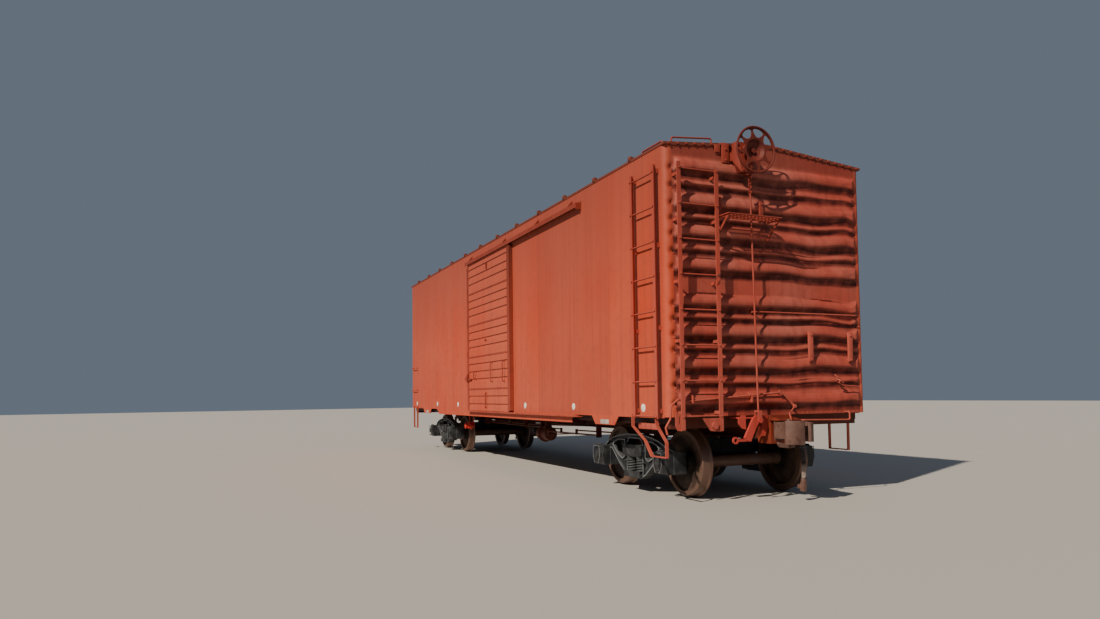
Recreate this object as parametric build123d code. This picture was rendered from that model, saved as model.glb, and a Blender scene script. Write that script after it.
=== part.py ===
from build123d import *
import os
from math import cos, pi, radians, sin

os.makedirs("parts", exist_ok=True)

# Railroad boxcar, about 44 ft over the couplers, on two four-wheel trucks.
# All sizes are in millimetres. X runs along the car and +X is the end with the
# brake wheel, Y runs across it, Z is up. The origin is at the middle of the car,
# at the level of the lowest point of the wheel flanges.

# driving sizes

# running gear
tread_radius = 419.0
flange_height = 25.0
truck_inset = 1480.0
half_wheelbase = 838.0
journal_centre_y = 990.0
back_to_back = 1353.0
rim_width = 140.0
journal_radius = 70.0
center_plate_radius = 165.0
bowl_floor_z = 690.0
seat_gap = 0.3

# body shell
body_half_width = 1498.0
side_wall_thick = 90.0
side_sheet_half = 6180.0
end_wall_thick = 110.0
sheet_bottom_z = 1047.0
eave_z = 4225.0
roof_rise = 165.0
roof_thick = 50.0
floor_thick = 57.0
floor_top_z = 1140.0

# underframe
sill_half_width = 165.0
sill_web = 10.0
sill_bottom_z = 760.0
skirt_bottom_z = 920.0
skirt_half_length = 3665.0

# side doors
door_opening_half = 1067.0
door_panel_half = 1190.0
door_thick = 41.0
door_gap = 7.0
door_bottom_z = 1035.0
door_top_z = 4012.0
door_opening_top_z = 3955.0
lower_track_z = 1018.0
track_run = 2890.0

# couplers
coupler_centre_z = 856.0
coupler_reach = 565.0
striker_reach = 240.0

# ladders and steps
rung_pitch = 410.0
rung_dia = 20.0
first_rung_z = 1056.0
rung_count = 8
ladder_width = 522.0

# brake chain: rings of a rod's thickness, hooked into each other
striker_half = 160.0
ring_outer = 26.0
ring_inner = 15.0
ring_count = 8

# derived sizes

axle_z = tread_radius + flange_height
inner_y = body_half_width - side_wall_thick
end_face_x = side_sheet_half + end_wall_thick
floor_bottom_z = floor_top_z - floor_thick
post_width = body_half_width - inner_y + 10.0
post_inner_y = body_half_width - post_width
truck_centre_x = side_sheet_half - truck_inset
pulling_face_x = side_sheet_half + coupler_reach
track_end_x = door_panel_half + track_run


# small helpers

def block(x0, x1, y0, y1, z0, z1):
    """Box between two corners."""
    size = Box(abs(x1 - x0), abs(y1 - y0), abs(z1 - z0))
    return Pos((x0 + x1) / 2, (y0 + y1) / 2, (z0 + z1) / 2) * size


def prism_x(points, x0, x1):
    """Section given as (y, z) points, drawn out along X."""
    face = Plane.YZ.offset(x0) * Polygon(*points, align=None)
    return extrude(face, amount=x1 - x0, dir=(1, 0, 0))


def prism_y(points, y0, y1):
    """Section given as (x, z) points, drawn out along Y."""
    face = Plane.XZ.offset(-y0) * Polygon(*points, align=None)
    return extrude(face, amount=y1 - y0, dir=(0, 1, 0))


def prism_z(points, z0, z1):
    """Plan given as (x, y) points, drawn up along Z."""
    face = Plane.XY.offset(z0) * Polygon(*points, align=None)
    return extrude(face, amount=z1 - z0, dir=(0, 0, 1))


def rod(points, dia, bend=None):
    """Round bar along straight runs, with rounded turns when a bend is given."""
    if len(points) == 2:
        path = Line(points[0], points[1])
    elif bend:
        path = FilletPolyline(*points, radius=bend)
    else:
        path = Polyline(*points)
    ring = Plane(origin=path @ 0, z_dir=path % 0) * Circle(dia / 2)
    return sweep(ring, path=path)


def cyl_y(x, z, radius, y0, y1):
    """Cylinder lying across the car."""
    return Pos(x, (y0 + y1) / 2, z) * Rot(90, 0, 0) * Cylinder(radius, abs(y1 - y0))


def cyl_x(y, z, radius, x0, x1):
    """Cylinder lying along the car."""
    return Pos((x0 + x1) / 2, y, z) * Rot(0, 90, 0) * Cylinder(radius, abs(x1 - x0))


def cyl_z(x, y, radius, z0, z1):
    """Upright cylinder."""
    return Pos(x, y, (z0 + z1) / 2) * Cylinder(radius, abs(z1 - z0))


def fuse(pieces):
    """All pieces as one solid."""
    whole = pieces[0]
    for piece in pieces[1:]:
        whole = whole + piece
    return whole


def grown(points, distance):
    """Straight-sided outline with every side moved out, or in when the distance is below zero."""
    area = sum(x0 * y1 - x1 * y0 for (x0, y0), (x1, y1) in zip(points, points[1:] + points[:1]))
    out = distance if area > 0 else -distance
    corners = []
    for before, here, after in zip(points[-1:] + points[:-1], points, points[1:] + points[:1]):
        ax, ay = here[0] - before[0], here[1] - before[1]
        bx, by = after[0] - here[0], after[1] - here[1]
        a_len = (ax * ax + ay * ay) ** 0.5
        b_len = (bx * bx + by * by) ** 0.5
        nx, ny = ay / a_len + by / b_len, -ax / a_len - bx / b_len
        scale = 2 * out / (nx * nx + ny * ny)
        corners.append((here[0] + nx * scale, here[1] + ny * scale))
    return corners


def turned(shape):
    """The same piece at the diagonally opposite corner of the car."""
    return Rot(0, 0, 180) * shape


def mirror_y(shape):
    """The same piece on the other side of the car."""
    return mirror(shape, about=Plane.XZ)


def save(name, *shapes):
    """Write one node; several shapes become separate solids of it."""
    solids = []
    for shape in shapes:
        solids.extend(shape.solids())
    body = solids[0] if len(solids) == 1 else Compound(solids)
    export_step(body, f"parts/{name}.step")


def both(shape):
    """A piece and its partner turned half round."""
    return [shape, turned(shape)]


# underframe

# centre sill: two Z sections under a cover plate, open below
sill_inner = sill_half_width - sill_web
flange_out = sill_half_width + 60.0
cover_half = sill_half_width + 35.0
cover_z = floor_bottom_z - 12.0
sill_half_section = [
    (cover_half, floor_bottom_z),
    (cover_half, cover_z),
    (sill_half_width, cover_z),
    (sill_half_width, sill_bottom_z + 12.0),
    (flange_out, sill_bottom_z + 12.0),
    (flange_out, sill_bottom_z),
    (sill_inner, sill_bottom_z),
    (sill_inner, cover_z),
]
sill_section = sill_half_section + [(-y, z) for y, z in reversed(sill_half_section)]
center_sill = prism_x(sill_section, -side_sheet_half, side_sheet_half)
center_plate = cyl_z(truck_centre_x, 0, center_plate_radius, bowl_floor_z + seat_gap, sill_bottom_z + 12)
center_plate = center_plate + block(truck_centre_x - 190, truck_centre_x + 190, -flange_out, flange_out,
                                    sill_bottom_z - 12, sill_bottom_z + 12)
center_sill = center_sill + center_plate + turned(center_plate)
save("center_sill", center_sill)

# body bolsters: tapered box beams between centre sill and side sill
bolster_half = 190.0
bolster_section = [
    (sill_half_width, cover_z),
    (cover_half, cover_z),
    (cover_half, floor_bottom_z),
    (inner_y, floor_bottom_z),
    (inner_y, 960.0),
    (900.0, 915.0),
    (flange_out, 810.0),
    (flange_out, sill_bottom_z + 12.0),
    (sill_half_width, sill_bottom_z + 12.0),
]
bolster_arm = prism_x(bolster_section, truck_centre_x - bolster_half, truck_centre_x + bolster_half)
side_bearing = block(truck_centre_x - 110, truck_centre_x + 110, 590, 680, 705, 900)
bolster_arm = bolster_arm + side_bearing
bolster_pair = [bolster_arm, mirror_y(bolster_arm)]
save("body_bolsters", *bolster_pair, *[turned(s) for s in bolster_pair])

# crossbearers: lighter tapered beams, columns: x, half width, depth at the sill
crossbearer_table = [
    (1300.0, 75.0, 800.0),
    (3050.0, 60.0, 860.0),
]
crossbearers = []
for x, half, low in crossbearer_table:
    section = [
        (sill_half_width, cover_z),
        (cover_half, cover_z),
        (cover_half, floor_bottom_z),
        (inner_y, floor_bottom_z),
        (inner_y, 960.0),
        (sill_half_width, low),
    ]
    beam = prism_x(section, x - half, x + half)
    crossbearers += [beam, mirror_y(beam), turned(beam), turned(mirror_y(beam))]
save("crossbearers", *crossbearers)

# side sills: angle under the side sheet, deep skirt between the trucks,
# a tapered tab at each truck centre
tab_section = [
    (truck_centre_x - 396, sheet_bottom_z),
    (truck_centre_x + 396, sheet_bottom_z),
    (truck_centre_x + 276, skirt_bottom_z),
    (truck_centre_x - 276, skirt_bottom_z),
]
skirt_y = body_half_width - 12.0
skirt_section = [
    (-skirt_half_length - 110, sheet_bottom_z),
    (skirt_half_length + 110, sheet_bottom_z),
    (skirt_half_length + 110, sheet_bottom_z - 45),
    (skirt_half_length, sheet_bottom_z - 60),
    (skirt_half_length, skirt_bottom_z),
    (-skirt_half_length, skirt_bottom_z),
    (-skirt_half_length, sheet_bottom_z - 60),
    (-skirt_half_length - 110, sheet_bottom_z - 45),
]
sill_leg = block(-side_sheet_half, side_sheet_half, -body_half_width, -inner_y, 1035, sheet_bottom_z)
sill_web_plate = block(-side_sheet_half, side_sheet_half, -inner_y - 12, -inner_y, 960, 1040)
skirt = prism_y(skirt_section, -body_half_width, -skirt_y)
tab = prism_y(tab_section, -body_half_width, -skirt_y)
side_sill = sill_leg + sill_web_plate + skirt + tab + mirror(tab, about=Plane.YZ)
save("side_sills", *both(side_sill))

# end sills: channel across each end, split by the centre sill
end_sill = block(side_sheet_half - 60, side_sheet_half, sill_half_width, inner_y, 905, cover_z)
end_sill = end_sill - block(side_sheet_half - 60, side_sheet_half - 10,
                            sill_half_width + 30, inner_y - 30, 917, 1059)
end_sill_pair = [end_sill, mirror_y(end_sill)]
save("end_sills", *end_sill_pair, *[turned(s) for s in end_sill_pair])

# floor
save("floor", block(-side_sheet_half, side_sheet_half, -inner_y, inner_y, floor_bottom_z, floor_top_z))

# body shell

# side wall: smooth welded sheets over posts and lining, cut for the door
side_wall = block(-side_sheet_half, side_sheet_half, -body_half_width, -inner_y, sheet_bottom_z, eave_z)
doorway = block(-door_opening_half, door_opening_half, -body_half_width - 1, -inner_y + 1,
                floor_top_z, door_opening_top_z)
side_wall = side_wall - doorway
save("side_wall_l", side_wall)
save("side_wall_r", turned(side_wall))

# end wall: pressed sheet with full-width ribs and narrower ribs between them
# columns: height of the rib's middle, rib height, how far it stands out
rib_table = [
    (1240.0, 190.0, 58.0),
    (1452.0, 80.0, 30.0),
    (1665.0, 190.0, 62.0),
    (1858.0, 80.0, 30.0),
    (2045.0, 190.0, 62.0),
    (2223.0, 80.0, 30.0),
    (2402.0, 190.0, 60.0),
    (2825.0, 190.0, 60.0),
    (3022.0, 80.0, 30.0),
    (3220.0, 190.0, 62.0),
    (3400.0, 80.0, 30.0),
    (3580.0, 190.0, 62.0),
    (3790.0, 80.0, 30.0),
    (4000.0, 190.0, 58.0),
]
rib_half = post_inner_y - 4.0
gable = [
    (-post_inner_y, sheet_bottom_z),
    (post_inner_y, sheet_bottom_z),
    (post_inner_y, eave_z),
    (0, eave_z + roof_rise - roof_thick),
    (-post_inner_y, eave_z),
]
end_wall = prism_x(gable, side_sheet_half, end_face_x)
for z, tall, out in rib_table:
    rib_plan = [
        (end_face_x - 5, -rib_half),
        (end_face_x, -rib_half),
        (end_face_x + out * 0.8, -rib_half + 60),
        (end_face_x + out, -rib_half + 220),
        (end_face_x + out, rib_half - 220),
        (end_face_x + out * 0.8, rib_half - 60),
        (end_face_x, rib_half),
        (end_face_x - 5, rib_half),
    ]
    rib_cut = [
        (end_face_x - 6, z + tall / 2),
        (end_face_x, z + tall / 2),
        (end_face_x + out * 0.72, z + tall * 0.24),
        (end_face_x + out + 1, z + tall * 0.02),
        (end_face_x + out + 1, z - tall * 0.12),
        (end_face_x + out * 0.72, z - tall * 0.30),
        (end_face_x, z - tall / 2),
        (end_face_x - 6, z - tall / 2),
    ]
    rib = prism_z(rib_plan, z - tall / 2, z + tall / 2) & prism_y(rib_cut, -rib_half, rib_half)
    end_wall = end_wall + rib
save("end_wall_b", end_wall)
save("end_wall_a", turned(end_wall))

# rounded corner posts
post_plan = block(side_sheet_half, end_face_x, -body_half_width, -post_inner_y, sheet_bottom_z, eave_z)
outer_edge = post_plan.edges().filter_by(Axis.Z).sort_by(lambda e: e.center().X - e.center().Y)[-1]
corner_post = fillet(outer_edge, 85.0)
corner_posts = [corner_post, mirror_y(corner_post)]
save("corner_posts", *corner_posts, *[turned(s) for s in corner_posts])

# roof: two shallow slopes, hollow below
roof_half_length = end_face_x + 12.0
roof_half_width = body_half_width + 8.0
roof_section = [
    (-roof_half_width, eave_z),
    (-post_inner_y, eave_z),
    (0, eave_z + roof_rise - roof_thick),
    (post_inner_y, eave_z),
    (roof_half_width, eave_z),
    (roof_half_width, eave_z + 28),
    (0, eave_z + roof_rise),
    (-roof_half_width, eave_z + 28),
]
roof = prism_x(roof_section, -roof_half_length, roof_half_length)
save("roof", roof)

# raised seam caps across the roof
seam_pitch = side_sheet_half / 6.18
seam_count = 12
seam_width = 76.0
seam_rise = 30.0
seam_section = [
    (-roof_half_width, eave_z + 28),
    (0, eave_z + roof_rise),
    (roof_half_width, eave_z + 28),
    (roof_half_width - 25, eave_z + 28 + seam_rise),
    (0, eave_z + roof_rise + seam_rise),
    (-roof_half_width + 25, eave_z + 28 + seam_rise),
]
seam_caps = []
for i in range(seam_count):
    x = (i - (seam_count - 1) / 2) * seam_pitch
    seam_caps.append(prism_x(seam_section, x - seam_width / 2, x + seam_width / 2))
save("roof_seam_caps", *seam_caps)

# side doors

door_back_y = body_half_width + door_gap
door_front_y = door_back_y + door_thick
door = block(-door_panel_half, door_panel_half, -door_front_y, -door_back_y, door_bottom_z, door_top_z)
# pressed grooves under each lap of the panel; the lowest part has room for two
lap_count = 5
lap_pitch = 638.0
lowest_lap_z = 1459.0
groove_drops = [160.0, 311.0, 459.0]
groove_depth = 16.0
groove_half = 30.0
panel_lap_z = [lowest_lap_z + lap_pitch * i for i in range(lap_count)]
for lap in panel_lap_z:
    for drop in groove_drops:
        z = lap - drop
        if z - groove_half < door_bottom_z + 20:
            continue
        cut = [
            (-door_front_y - 1, z + groove_half),
            (-door_front_y + groove_depth, z + 12),
            (-door_front_y + groove_depth, z - 12),
            (-door_front_y - 1, z - groove_half),
        ]
        door = door - prism_x(cut, -door_panel_half + 70, door_panel_half - 70)
save("door_l", door)
save("door_r", turned(door))

# door hardware: edge frames, lap strips, latch bar, handles, hangers
hardware = []
for x in (-door_panel_half, door_panel_half - 60):
    hardware.append(block(x, x + 60, -door_front_y - 8, -door_front_y, door_bottom_z, door_top_z - 60))
for z in panel_lap_z[:-1]:
    hardware.append(block(-door_panel_half + 60, door_panel_half - 60,
                          -door_front_y - 6, -door_front_y, z - 14, z + 14))
rear_bar_width = 100.0
hardware.append(block(door_panel_half, door_panel_half + rear_bar_width, -door_front_y - 22, -door_back_y,
                      door_bottom_z + 25, door_top_z - 52))
door_frame = fuse(hardware)
latch_x = -door_panel_half + 30
latch_section = [
    (-door_front_y - 8, 1597.0),
    (-door_front_y - 40, 1612.0),
    (-door_front_y - 52, 1690.0),
    (-door_front_y - 34, 1763.0),
    (-door_front_y - 8, 1770.0),
]
latch = prism_x(latch_section, latch_x - 28, latch_x + 40)
latch_bar = block(latch_x + 40, latch_x + 190, -door_front_y - 24, -door_front_y, 1640, 1672)
hasp = rod([(-37, -door_front_y, 1100), (-37, -door_front_y - 30, 1100), (-37, -door_front_y - 30, 1380),
            (-37, -door_front_y, 1380)], 22, 14)
lugs = [block(-90, -10, -door_front_y - 26, -door_front_y, 2380, 2400),
        block(26, 42, -door_front_y - 26, -door_front_y, 3735, 3860)]
# short tabs over the front edge, above each lap
edge_tabs = []
for z in panel_lap_z[1:-1]:
    edge_tabs.append(block(-door_panel_half - 4, -door_panel_half + 20,
                           -door_front_y - 14, -door_front_y - 8, z + 20, z + 125))
# handles, columns: place along the door as a share of its half width, lower end, height
handles = []
handle_table = [
    (-0.58, 1660.0, 150.0),
    (0.26, 1590.0, 345.0),
    (0.81, 1580.0, 360.0),
]
for share, z0, tall in handle_table:
    x = share * door_panel_half
    handles.append(rod([(x, -door_front_y, z0), (x, -door_front_y - 45, z0),
                        (x, -door_front_y - 45, z0 + tall), (x, -door_front_y, z0 + tall)], 18, 20))
door_shoes = []
for x in (-door_panel_half + 180, door_panel_half - 180):
    door_shoes.append(block(x - 90, x + 90, -door_front_y, -door_back_y,
                            lower_track_z + seat_gap, door_bottom_z))
left_hardware = [fuse([door_frame, latch, latch_bar] + edge_tabs), hasp] + lugs + handles + door_shoes
save("door_l_hardware", *left_hardware)
save("door_r_hardware", *[turned(piece) for piece in left_hardware])

# upper track: cover angle the door hangs under; lower track: guide angle
track_start_x = -door_panel_half - 60.0
upper_track = block(track_start_x, track_end_x, -door_front_y - 40, -body_half_width, 4040, 4052)
upper_lip = block(track_start_x, track_end_x, -door_front_y - 40, -door_front_y - 30, 3985, 4052)
upper_web = block(track_start_x, track_end_x, -body_half_width - 4, -body_half_width, 4020, 4085)
end_bracket = block(track_end_x - 12, track_end_x, -door_front_y - 40, -body_half_width, 3960, 4052)
track_brackets = []
for x in (-1000.0, 960.0, 2500.0, track_end_x - 300.0):
    section = [
        (-body_half_width, 4052),
        (-door_front_y - 38, 4052),
        (-body_half_width - 6, 4150),
        (-body_half_width, 4150),
    ]
    track_brackets.append(prism_x(section, x - 6, x + 6))
upper_track = fuse([upper_track, upper_lip, upper_web, end_bracket] + track_brackets)
lower_end_x = track_end_x - 60.0
lower_lip_y = -door_front_y - 22.0
lower_track = block(track_start_x, lower_end_x, lower_lip_y, -body_half_width,
                    lower_track_z - 12, lower_track_z)
lower_lip = block(track_start_x, lower_end_x, lower_lip_y, lower_lip_y + 10, lower_track_z - 12,
                  lower_track_z + 12)
lower_track = lower_track + lower_lip
stop_z = (sheet_bottom_z + 13.0, door_opening_top_z - 15.0)
door_stop = block(-door_panel_half - 62, -door_panel_half - 6, -door_front_y - 4, -body_half_width, *stop_z)
keeper_section = [
    (-body_half_width, 1615.0),
    (-body_half_width - 38, 1630.0),
    (-body_half_width - 60, 1690.0),
    (-body_half_width - 38, 1745.0),
    (-body_half_width, 1755.0),
]
keeper = prism_x(keeper_section, -door_panel_half - 224, -door_panel_half - 60)
door_stop = door_stop + keeper
save("door_tracks", *both(upper_track), *both(lower_track))
save("door_stops", *both(door_stop))

# ladders, steps, handholds

rung_z = [first_rung_z + rung_pitch * i for i in range(rung_count)]

# side ladder at the right hand end of each side; stiles are angles facing out
side_ladder_x = side_sheet_half - 278.0
stile_depth = 45.0
stile_face = 50.0
stile_thick = 9.0
ladder_top_z = 4010.0
side_stile_y = -body_half_width - 66.0
stile_out_y = side_stile_y - stile_depth / 2
ladder_pieces = []
for side in (-1, 1):
    x = side_ladder_x + side * ladder_width / 2
    web_x0 = x - stile_thick / 2
    ladder_pieces.append(block(web_x0, web_x0 + stile_thick, stile_out_y, side_stile_y + stile_depth / 2,
                               1035, ladder_top_z))
    ladder_pieces.append(block(x - stile_face / 2, x + stile_face / 2,
                               stile_out_y, stile_out_y + stile_thick, 1035, ladder_top_z))
    for z in (1120.0, 2090.0, 3060.0, 3940.0):
        ladder_pieces.append(block(x - 4, x + 4, side_stile_y, -body_half_width, z - 25, z + 25))
for z in rung_z:
    ladder_pieces.append(rod([(side_ladder_x - ladder_width / 2, side_stile_y, z),
                              (side_ladder_x + ladder_width / 2, side_stile_y, z)], rung_dia))
side_ladder = fuse(ladder_pieces)

# end ladder at the left of each end, its outer stile on a wide foot plate
end_ladder_y = -(body_half_width - 366.0)
end_stile_x = end_face_x + 120.0
stile_out_x = end_stile_x + stile_depth / 2
foot_plate = [
    (-35, 1094),
    (-95, 1094),
    (-95, 950),
    (-70, 898),
    (-10, 890),
    (22, 930),
    (22, 1094),
]
tab_plate = [
    (14, 1030),
    (-255, 1030),
    (-150, 884),
    (-30, 872),
    (14, 872),
]
ladder_pieces = []
# its stiles, columns: side, foot, top
end_stile_table = [
    (-1, 900.0, 3995.0),
    (1, 880.0, 3945.0),
]
for side, stile_z0, stile_z1 in end_stile_table:
    y = end_ladder_y + side * ladder_width / 2
    ladder_pieces.append(block(end_stile_x - stile_depth / 2, stile_out_x, y - stile_thick / 2,
                               y + stile_thick / 2, stile_z0, stile_z1))
    ladder_pieces.append(block(stile_out_x - stile_thick, stile_out_x,
                               y - stile_face / 2, y + stile_face / 2, stile_z0, stile_z1))
    for z in (1095.0, 1925.0, 2613.0, 3338.0, 3868.0):
        ladder_pieces.append(block(end_face_x, end_stile_x, y - 4, y + 4, z - 18, z + 18))
for z in rung_z:
    ladder_pieces.append(rod([(end_stile_x, end_ladder_y - ladder_width / 2, z),
                              (end_stile_x, end_ladder_y + ladder_width / 2, z)], rung_dia))
outer_y = end_ladder_y - ladder_width / 2
inner_stile_y = end_ladder_y + ladder_width / 2
foot = prism_x([(outer_y + y, z) for y, z in foot_plate], stile_out_x - 30, stile_out_x - 20)
foot = foot - block(stile_out_x - 31, stile_out_x - 19, outer_y - 48, outer_y - 34, 975, 1060)
tab_piece = prism_x([(inner_stile_y + y, z) for y, z in tab_plate], stile_out_x - 24, stile_out_x - 12)
tab_piece = tab_piece + cyl_x(inner_stile_y - 90, 945, 42, stile_out_x - 12, stile_out_x + 10)
end_ladder = fuse(ladder_pieces + [foot, tab_piece])
save("ladders", *both(side_ladder), *both(end_ladder))

# sill steps: flat bar stirrups under the corners
step_bar = 40.0


def sill_step(points, thick=14.0):
    """Stirrup of flat bar along (x, z) points, standing against the side sheet."""
    inside = []
    for i, (x, z) in enumerate(points):
        towards = 1 if i < len(points) / 2 else -1
        lift = thick if 0 < i < len(points) - 1 and z < step_low_z + 30 else 0
        inside.append((x + towards * thick, z + lift))
    outline = points + inside[::-1]
    return prism_y(outline, -body_half_width - step_bar, -body_half_width)


step_top_z = sheet_bottom_z + 30.0
step_low_z = 578.0
plain_low_z = 535.0
bent_step = sill_step([
    (side_sheet_half - 690, step_top_z),
    (side_sheet_half - 690, 925.0),
    (side_sheet_half - 400, 760.0),
    (side_sheet_half - 250, step_low_z),
    (side_sheet_half + 92, step_low_z),
    (side_sheet_half + 92, 760.0),
    (side_sheet_half - 105, 940.0),
    (side_sheet_half - 140, step_top_z),
])
plain_step = sill_step([
    (-side_sheet_half + 225, step_top_z),
    (-side_sheet_half + 228, plain_low_z),
    (-side_sheet_half + 580, plain_low_z),
    (-side_sheet_half + 583, step_top_z),
])
save("sill_steps", *both(bent_step), *both(plain_step))

# handholds on the ends, columns: y0 as a share of the half width, z0, y1 as a share, z1
end_grab_table = [
    (-0.205, 2292.0, 0.8745, 2292.0),
]
grab_off = 78.0
grabs = []
for share0, z0, share1, z1 in end_grab_table:
    y0 = share0 * body_half_width
    y1 = share1 * body_half_width
    grabs.append(rod([(end_face_x, y0, z0), (end_face_x + grab_off, y0, z0),
                      (end_face_x + grab_off, y1, z1), (end_face_x, y1, z1)], rung_dia, 25))
# low handhold under the end sill, beside the coupler
low_grab_x = end_face_x + 78.0
low_grab_y = body_half_width - 360.0
grabs.append(rod([(end_face_x - 110, 385, 975), (low_grab_x, 385, 975), (low_grab_x, low_grab_y, 962),
                  (low_grab_x, low_grab_y, 1062), (end_face_x, low_grab_y, 1062)], rung_dia, 25))
# low handholds on the side at the left hand end, columns: z
side_grab_table = [1495.0, 2060.0]
side_grab_x0 = -side_sheet_half + 80.0
side_grab_x1 = side_grab_x0 + 480.0
for z in side_grab_table:
    grabs.append(rod([(side_grab_x0, -body_half_width, z), (side_grab_x0, -body_half_width - 70, z),
                      (side_grab_x1, -body_half_width - 70, z), (side_grab_x1, -body_half_width, z)],
                      rung_dia, 25))
grabs = grabs + [turned(g) for g in grabs]

# roof handholds over the ladders
slope = (roof_rise - 28.0) / roof_half_width
lift = 70.0


def roof_z(y):
    """Height of the roof top at a distance from the middle."""
    return eave_z + roof_rise - slope * abs(y)


foot_lift = slope * rung_dia / 2 + seat_gap / 4
hold_low = body_half_width - 138.0
hold_high = hold_low - 560.0
end_hold_x = side_sheet_half + 60.0
handhold_end = rod([(end_hold_x, -hold_low, roof_z(hold_low) + foot_lift),
                    (end_hold_x, -hold_low, roof_z(hold_low) + lift),
                    (end_hold_x, -hold_high, roof_z(hold_high) + lift),
                    (end_hold_x, -hold_high, roof_z(hold_high) + foot_lift)], rung_dia, 20)
side_hold_y = body_half_width - 98.0
side_hold_x0 = side_sheet_half - 540.0
side_hold_x1 = side_hold_x0 + 460.0
handhold_side = rod([(side_hold_x0, -side_hold_y, roof_z(side_hold_y) + foot_lift),
                     (side_hold_x0, -side_hold_y, roof_z(side_hold_y) + lift),
                     (side_hold_x1, -side_hold_y, roof_z(side_hold_y) + lift),
                     (side_hold_x1, -side_hold_y, roof_z(side_hold_y) + foot_lift)], rung_dia, 20)
save("handholds", *grabs, *both(handhold_end), *both(handhold_side))

# hand brake

step_y0 = end_ladder_y + ladder_width / 2 + 32.0
step_y1 = step_y0 + 784.0
brake_y = step_y0 + 451.0
wheel_z = 4206.0
wheel_x = end_face_x + 270.0
wheel_radius = 272.0
rim_section = [(wheel_radius + 13 * cos(pi * i / 4), 13 * sin(pi * i / 4)) for i in range(8)]
rim = revolve(Plane.XZ * Polygon(*rim_section, align=None), axis=Axis.Z)
# pressed bowl inside the rim, columns: radius, depth behind the rim
bowl_section = [
    (26, 78),
    (60, 74),
    (108, 52),
    (134, 14),
    (146, 14),
    (146, 6),
    (130, 6),
    (102, 46),
    (58, 66),
    (26, 70),
]
bowl = revolve(Plane.XZ * Polygon(*[(r, -depth) for r, depth in bowl_section], align=None), axis=Axis.Z)
# one opening between two spokes, columns: radius, degrees from its middle
spoke_count = 8
spoke_turn = 11.0
opening_outline = [
    (158, -8),
    (154, 0),
    (158, 8),
    (182, 15),
    (212, 19),
    (238, 19),
    (252, 13),
    (256, 0),
    (252, -13),
    (238, -19),
    (212, -19),
    (182, -15),
]
spoke_plate = Circle(wheel_radius - 4) - Circle(140)
for i in range(spoke_count):
    middle = 360 / spoke_count * (i + 0.5) + spoke_turn
    corners = [(r * cos(radians(middle + a)), r * sin(radians(middle + a))) for r, a in opening_outline]
    spoke_plate = spoke_plate - Polygon(*corners, align=None)
spoke_plate = Pos(0, 0, -14) * extrude(spoke_plate, amount=9)
hub_depth = 82.0
hub = Pos(0, 0, -hub_depth) * Cylinder(30, 42, align=(Align.CENTER, Align.CENTER, Align.MIN))
facing_out = Pos(wheel_x, brake_y, wheel_z) * Rot(0, 90, 0)
save("brake_wheel", facing_out * fuse([rim, bowl, spoke_plate, hub]))

housing_x = end_face_x + 66.0
housing_low_z = 3960.0
housing = block(housing_x, housing_x + 84, brake_y - 195, brake_y + 55, housing_low_z, 4320)
housing_foot = block(end_face_x, housing_x, brake_y - 195, brake_y + 55, 4110, 4215)
housing_front = cyl_x(brake_y, wheel_z, 110, housing_x + 84, housing_x + 112)
shaft = cyl_x(brake_y, wheel_z, 20, housing_x + 112, wheel_x - hub_depth)
save("brake_housing", housing + housing_foot + housing_front + shaft)

# brake step with its two braces
step_z = 3410.0
chain_x = end_face_x + 130.0
rod_low_y = -(striker_half + 176.0)
rod_top_y = brake_y + 12.0
rod_low_z = 1085.0
rod_top_z = housing_low_z - 2 * ring_inner * (ring_count - 1) - 2 * ring_outer
rod_step_y = rod_top_y + (rod_low_y - rod_top_y) * (rod_top_z - step_z) / (rod_top_z - rod_low_z)
platform = block(end_face_x + 80, end_face_x + 310, step_y0, step_y1, step_z - 12, step_z)
for i in range(15):
    y = step_y0 + 9 + 52 * i
    for j in range(3):
        x = end_face_x + 100 + 66 * j
        platform = platform - block(x, x + 50, y, y + 34, step_z - 20, step_z + 5)
braces = []
for y in (step_y0 + 22, step_y1 - 22):
    section = [
        (end_face_x, step_z - 12),
        (end_face_x + 300, step_z - 12),
        (end_face_x + 300, step_z - 24),
        (end_face_x + 60, step_z - 250),
        (end_face_x, step_z - 250),
        (end_face_x, step_z - 218),
        (end_face_x + 50, step_z - 218),
        (end_face_x + 245, step_z - 32),
        (end_face_x, step_z - 32),
    ]
    braces.append(prism_y(section, y - 5, y + 5) - end_wall)
platform = platform - cyl_z(chain_x, rod_step_y, 18, step_z - 20, step_z + 5)
save("brake_step", platform + braces[0] + braces[1])

# vertical rod from the hand brake down to the bell crank
rod_piece = rod([(chain_x, rod_low_y, rod_low_z), (chain_x, rod_top_y, rod_top_z)], 22)
ring = extrude(RegularPolygon(ring_outer, 8) - RegularPolygon(ring_inner, 8), amount=5, both=True)
links = []
for i in range(ring_count):
    spot = Pos(chain_x, rod_top_y, rod_top_z + ring_outer + 2 * ring_inner * i)
    link = spot * Rot(0, 0, 90 * (i % 2)) * Rot(90, 0, 0) * ring
    links.append(link)
fork = block(chain_x - 34, chain_x + 34, rod_low_y - 30, rod_low_y + 30, 1000, 1110)
fork = fork - block(chain_x - 22, chain_x + 22, rod_low_y - 31, rod_low_y + 31, 990, 1085)
save("brake_rod", rod_piece + fork, *links)

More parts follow.
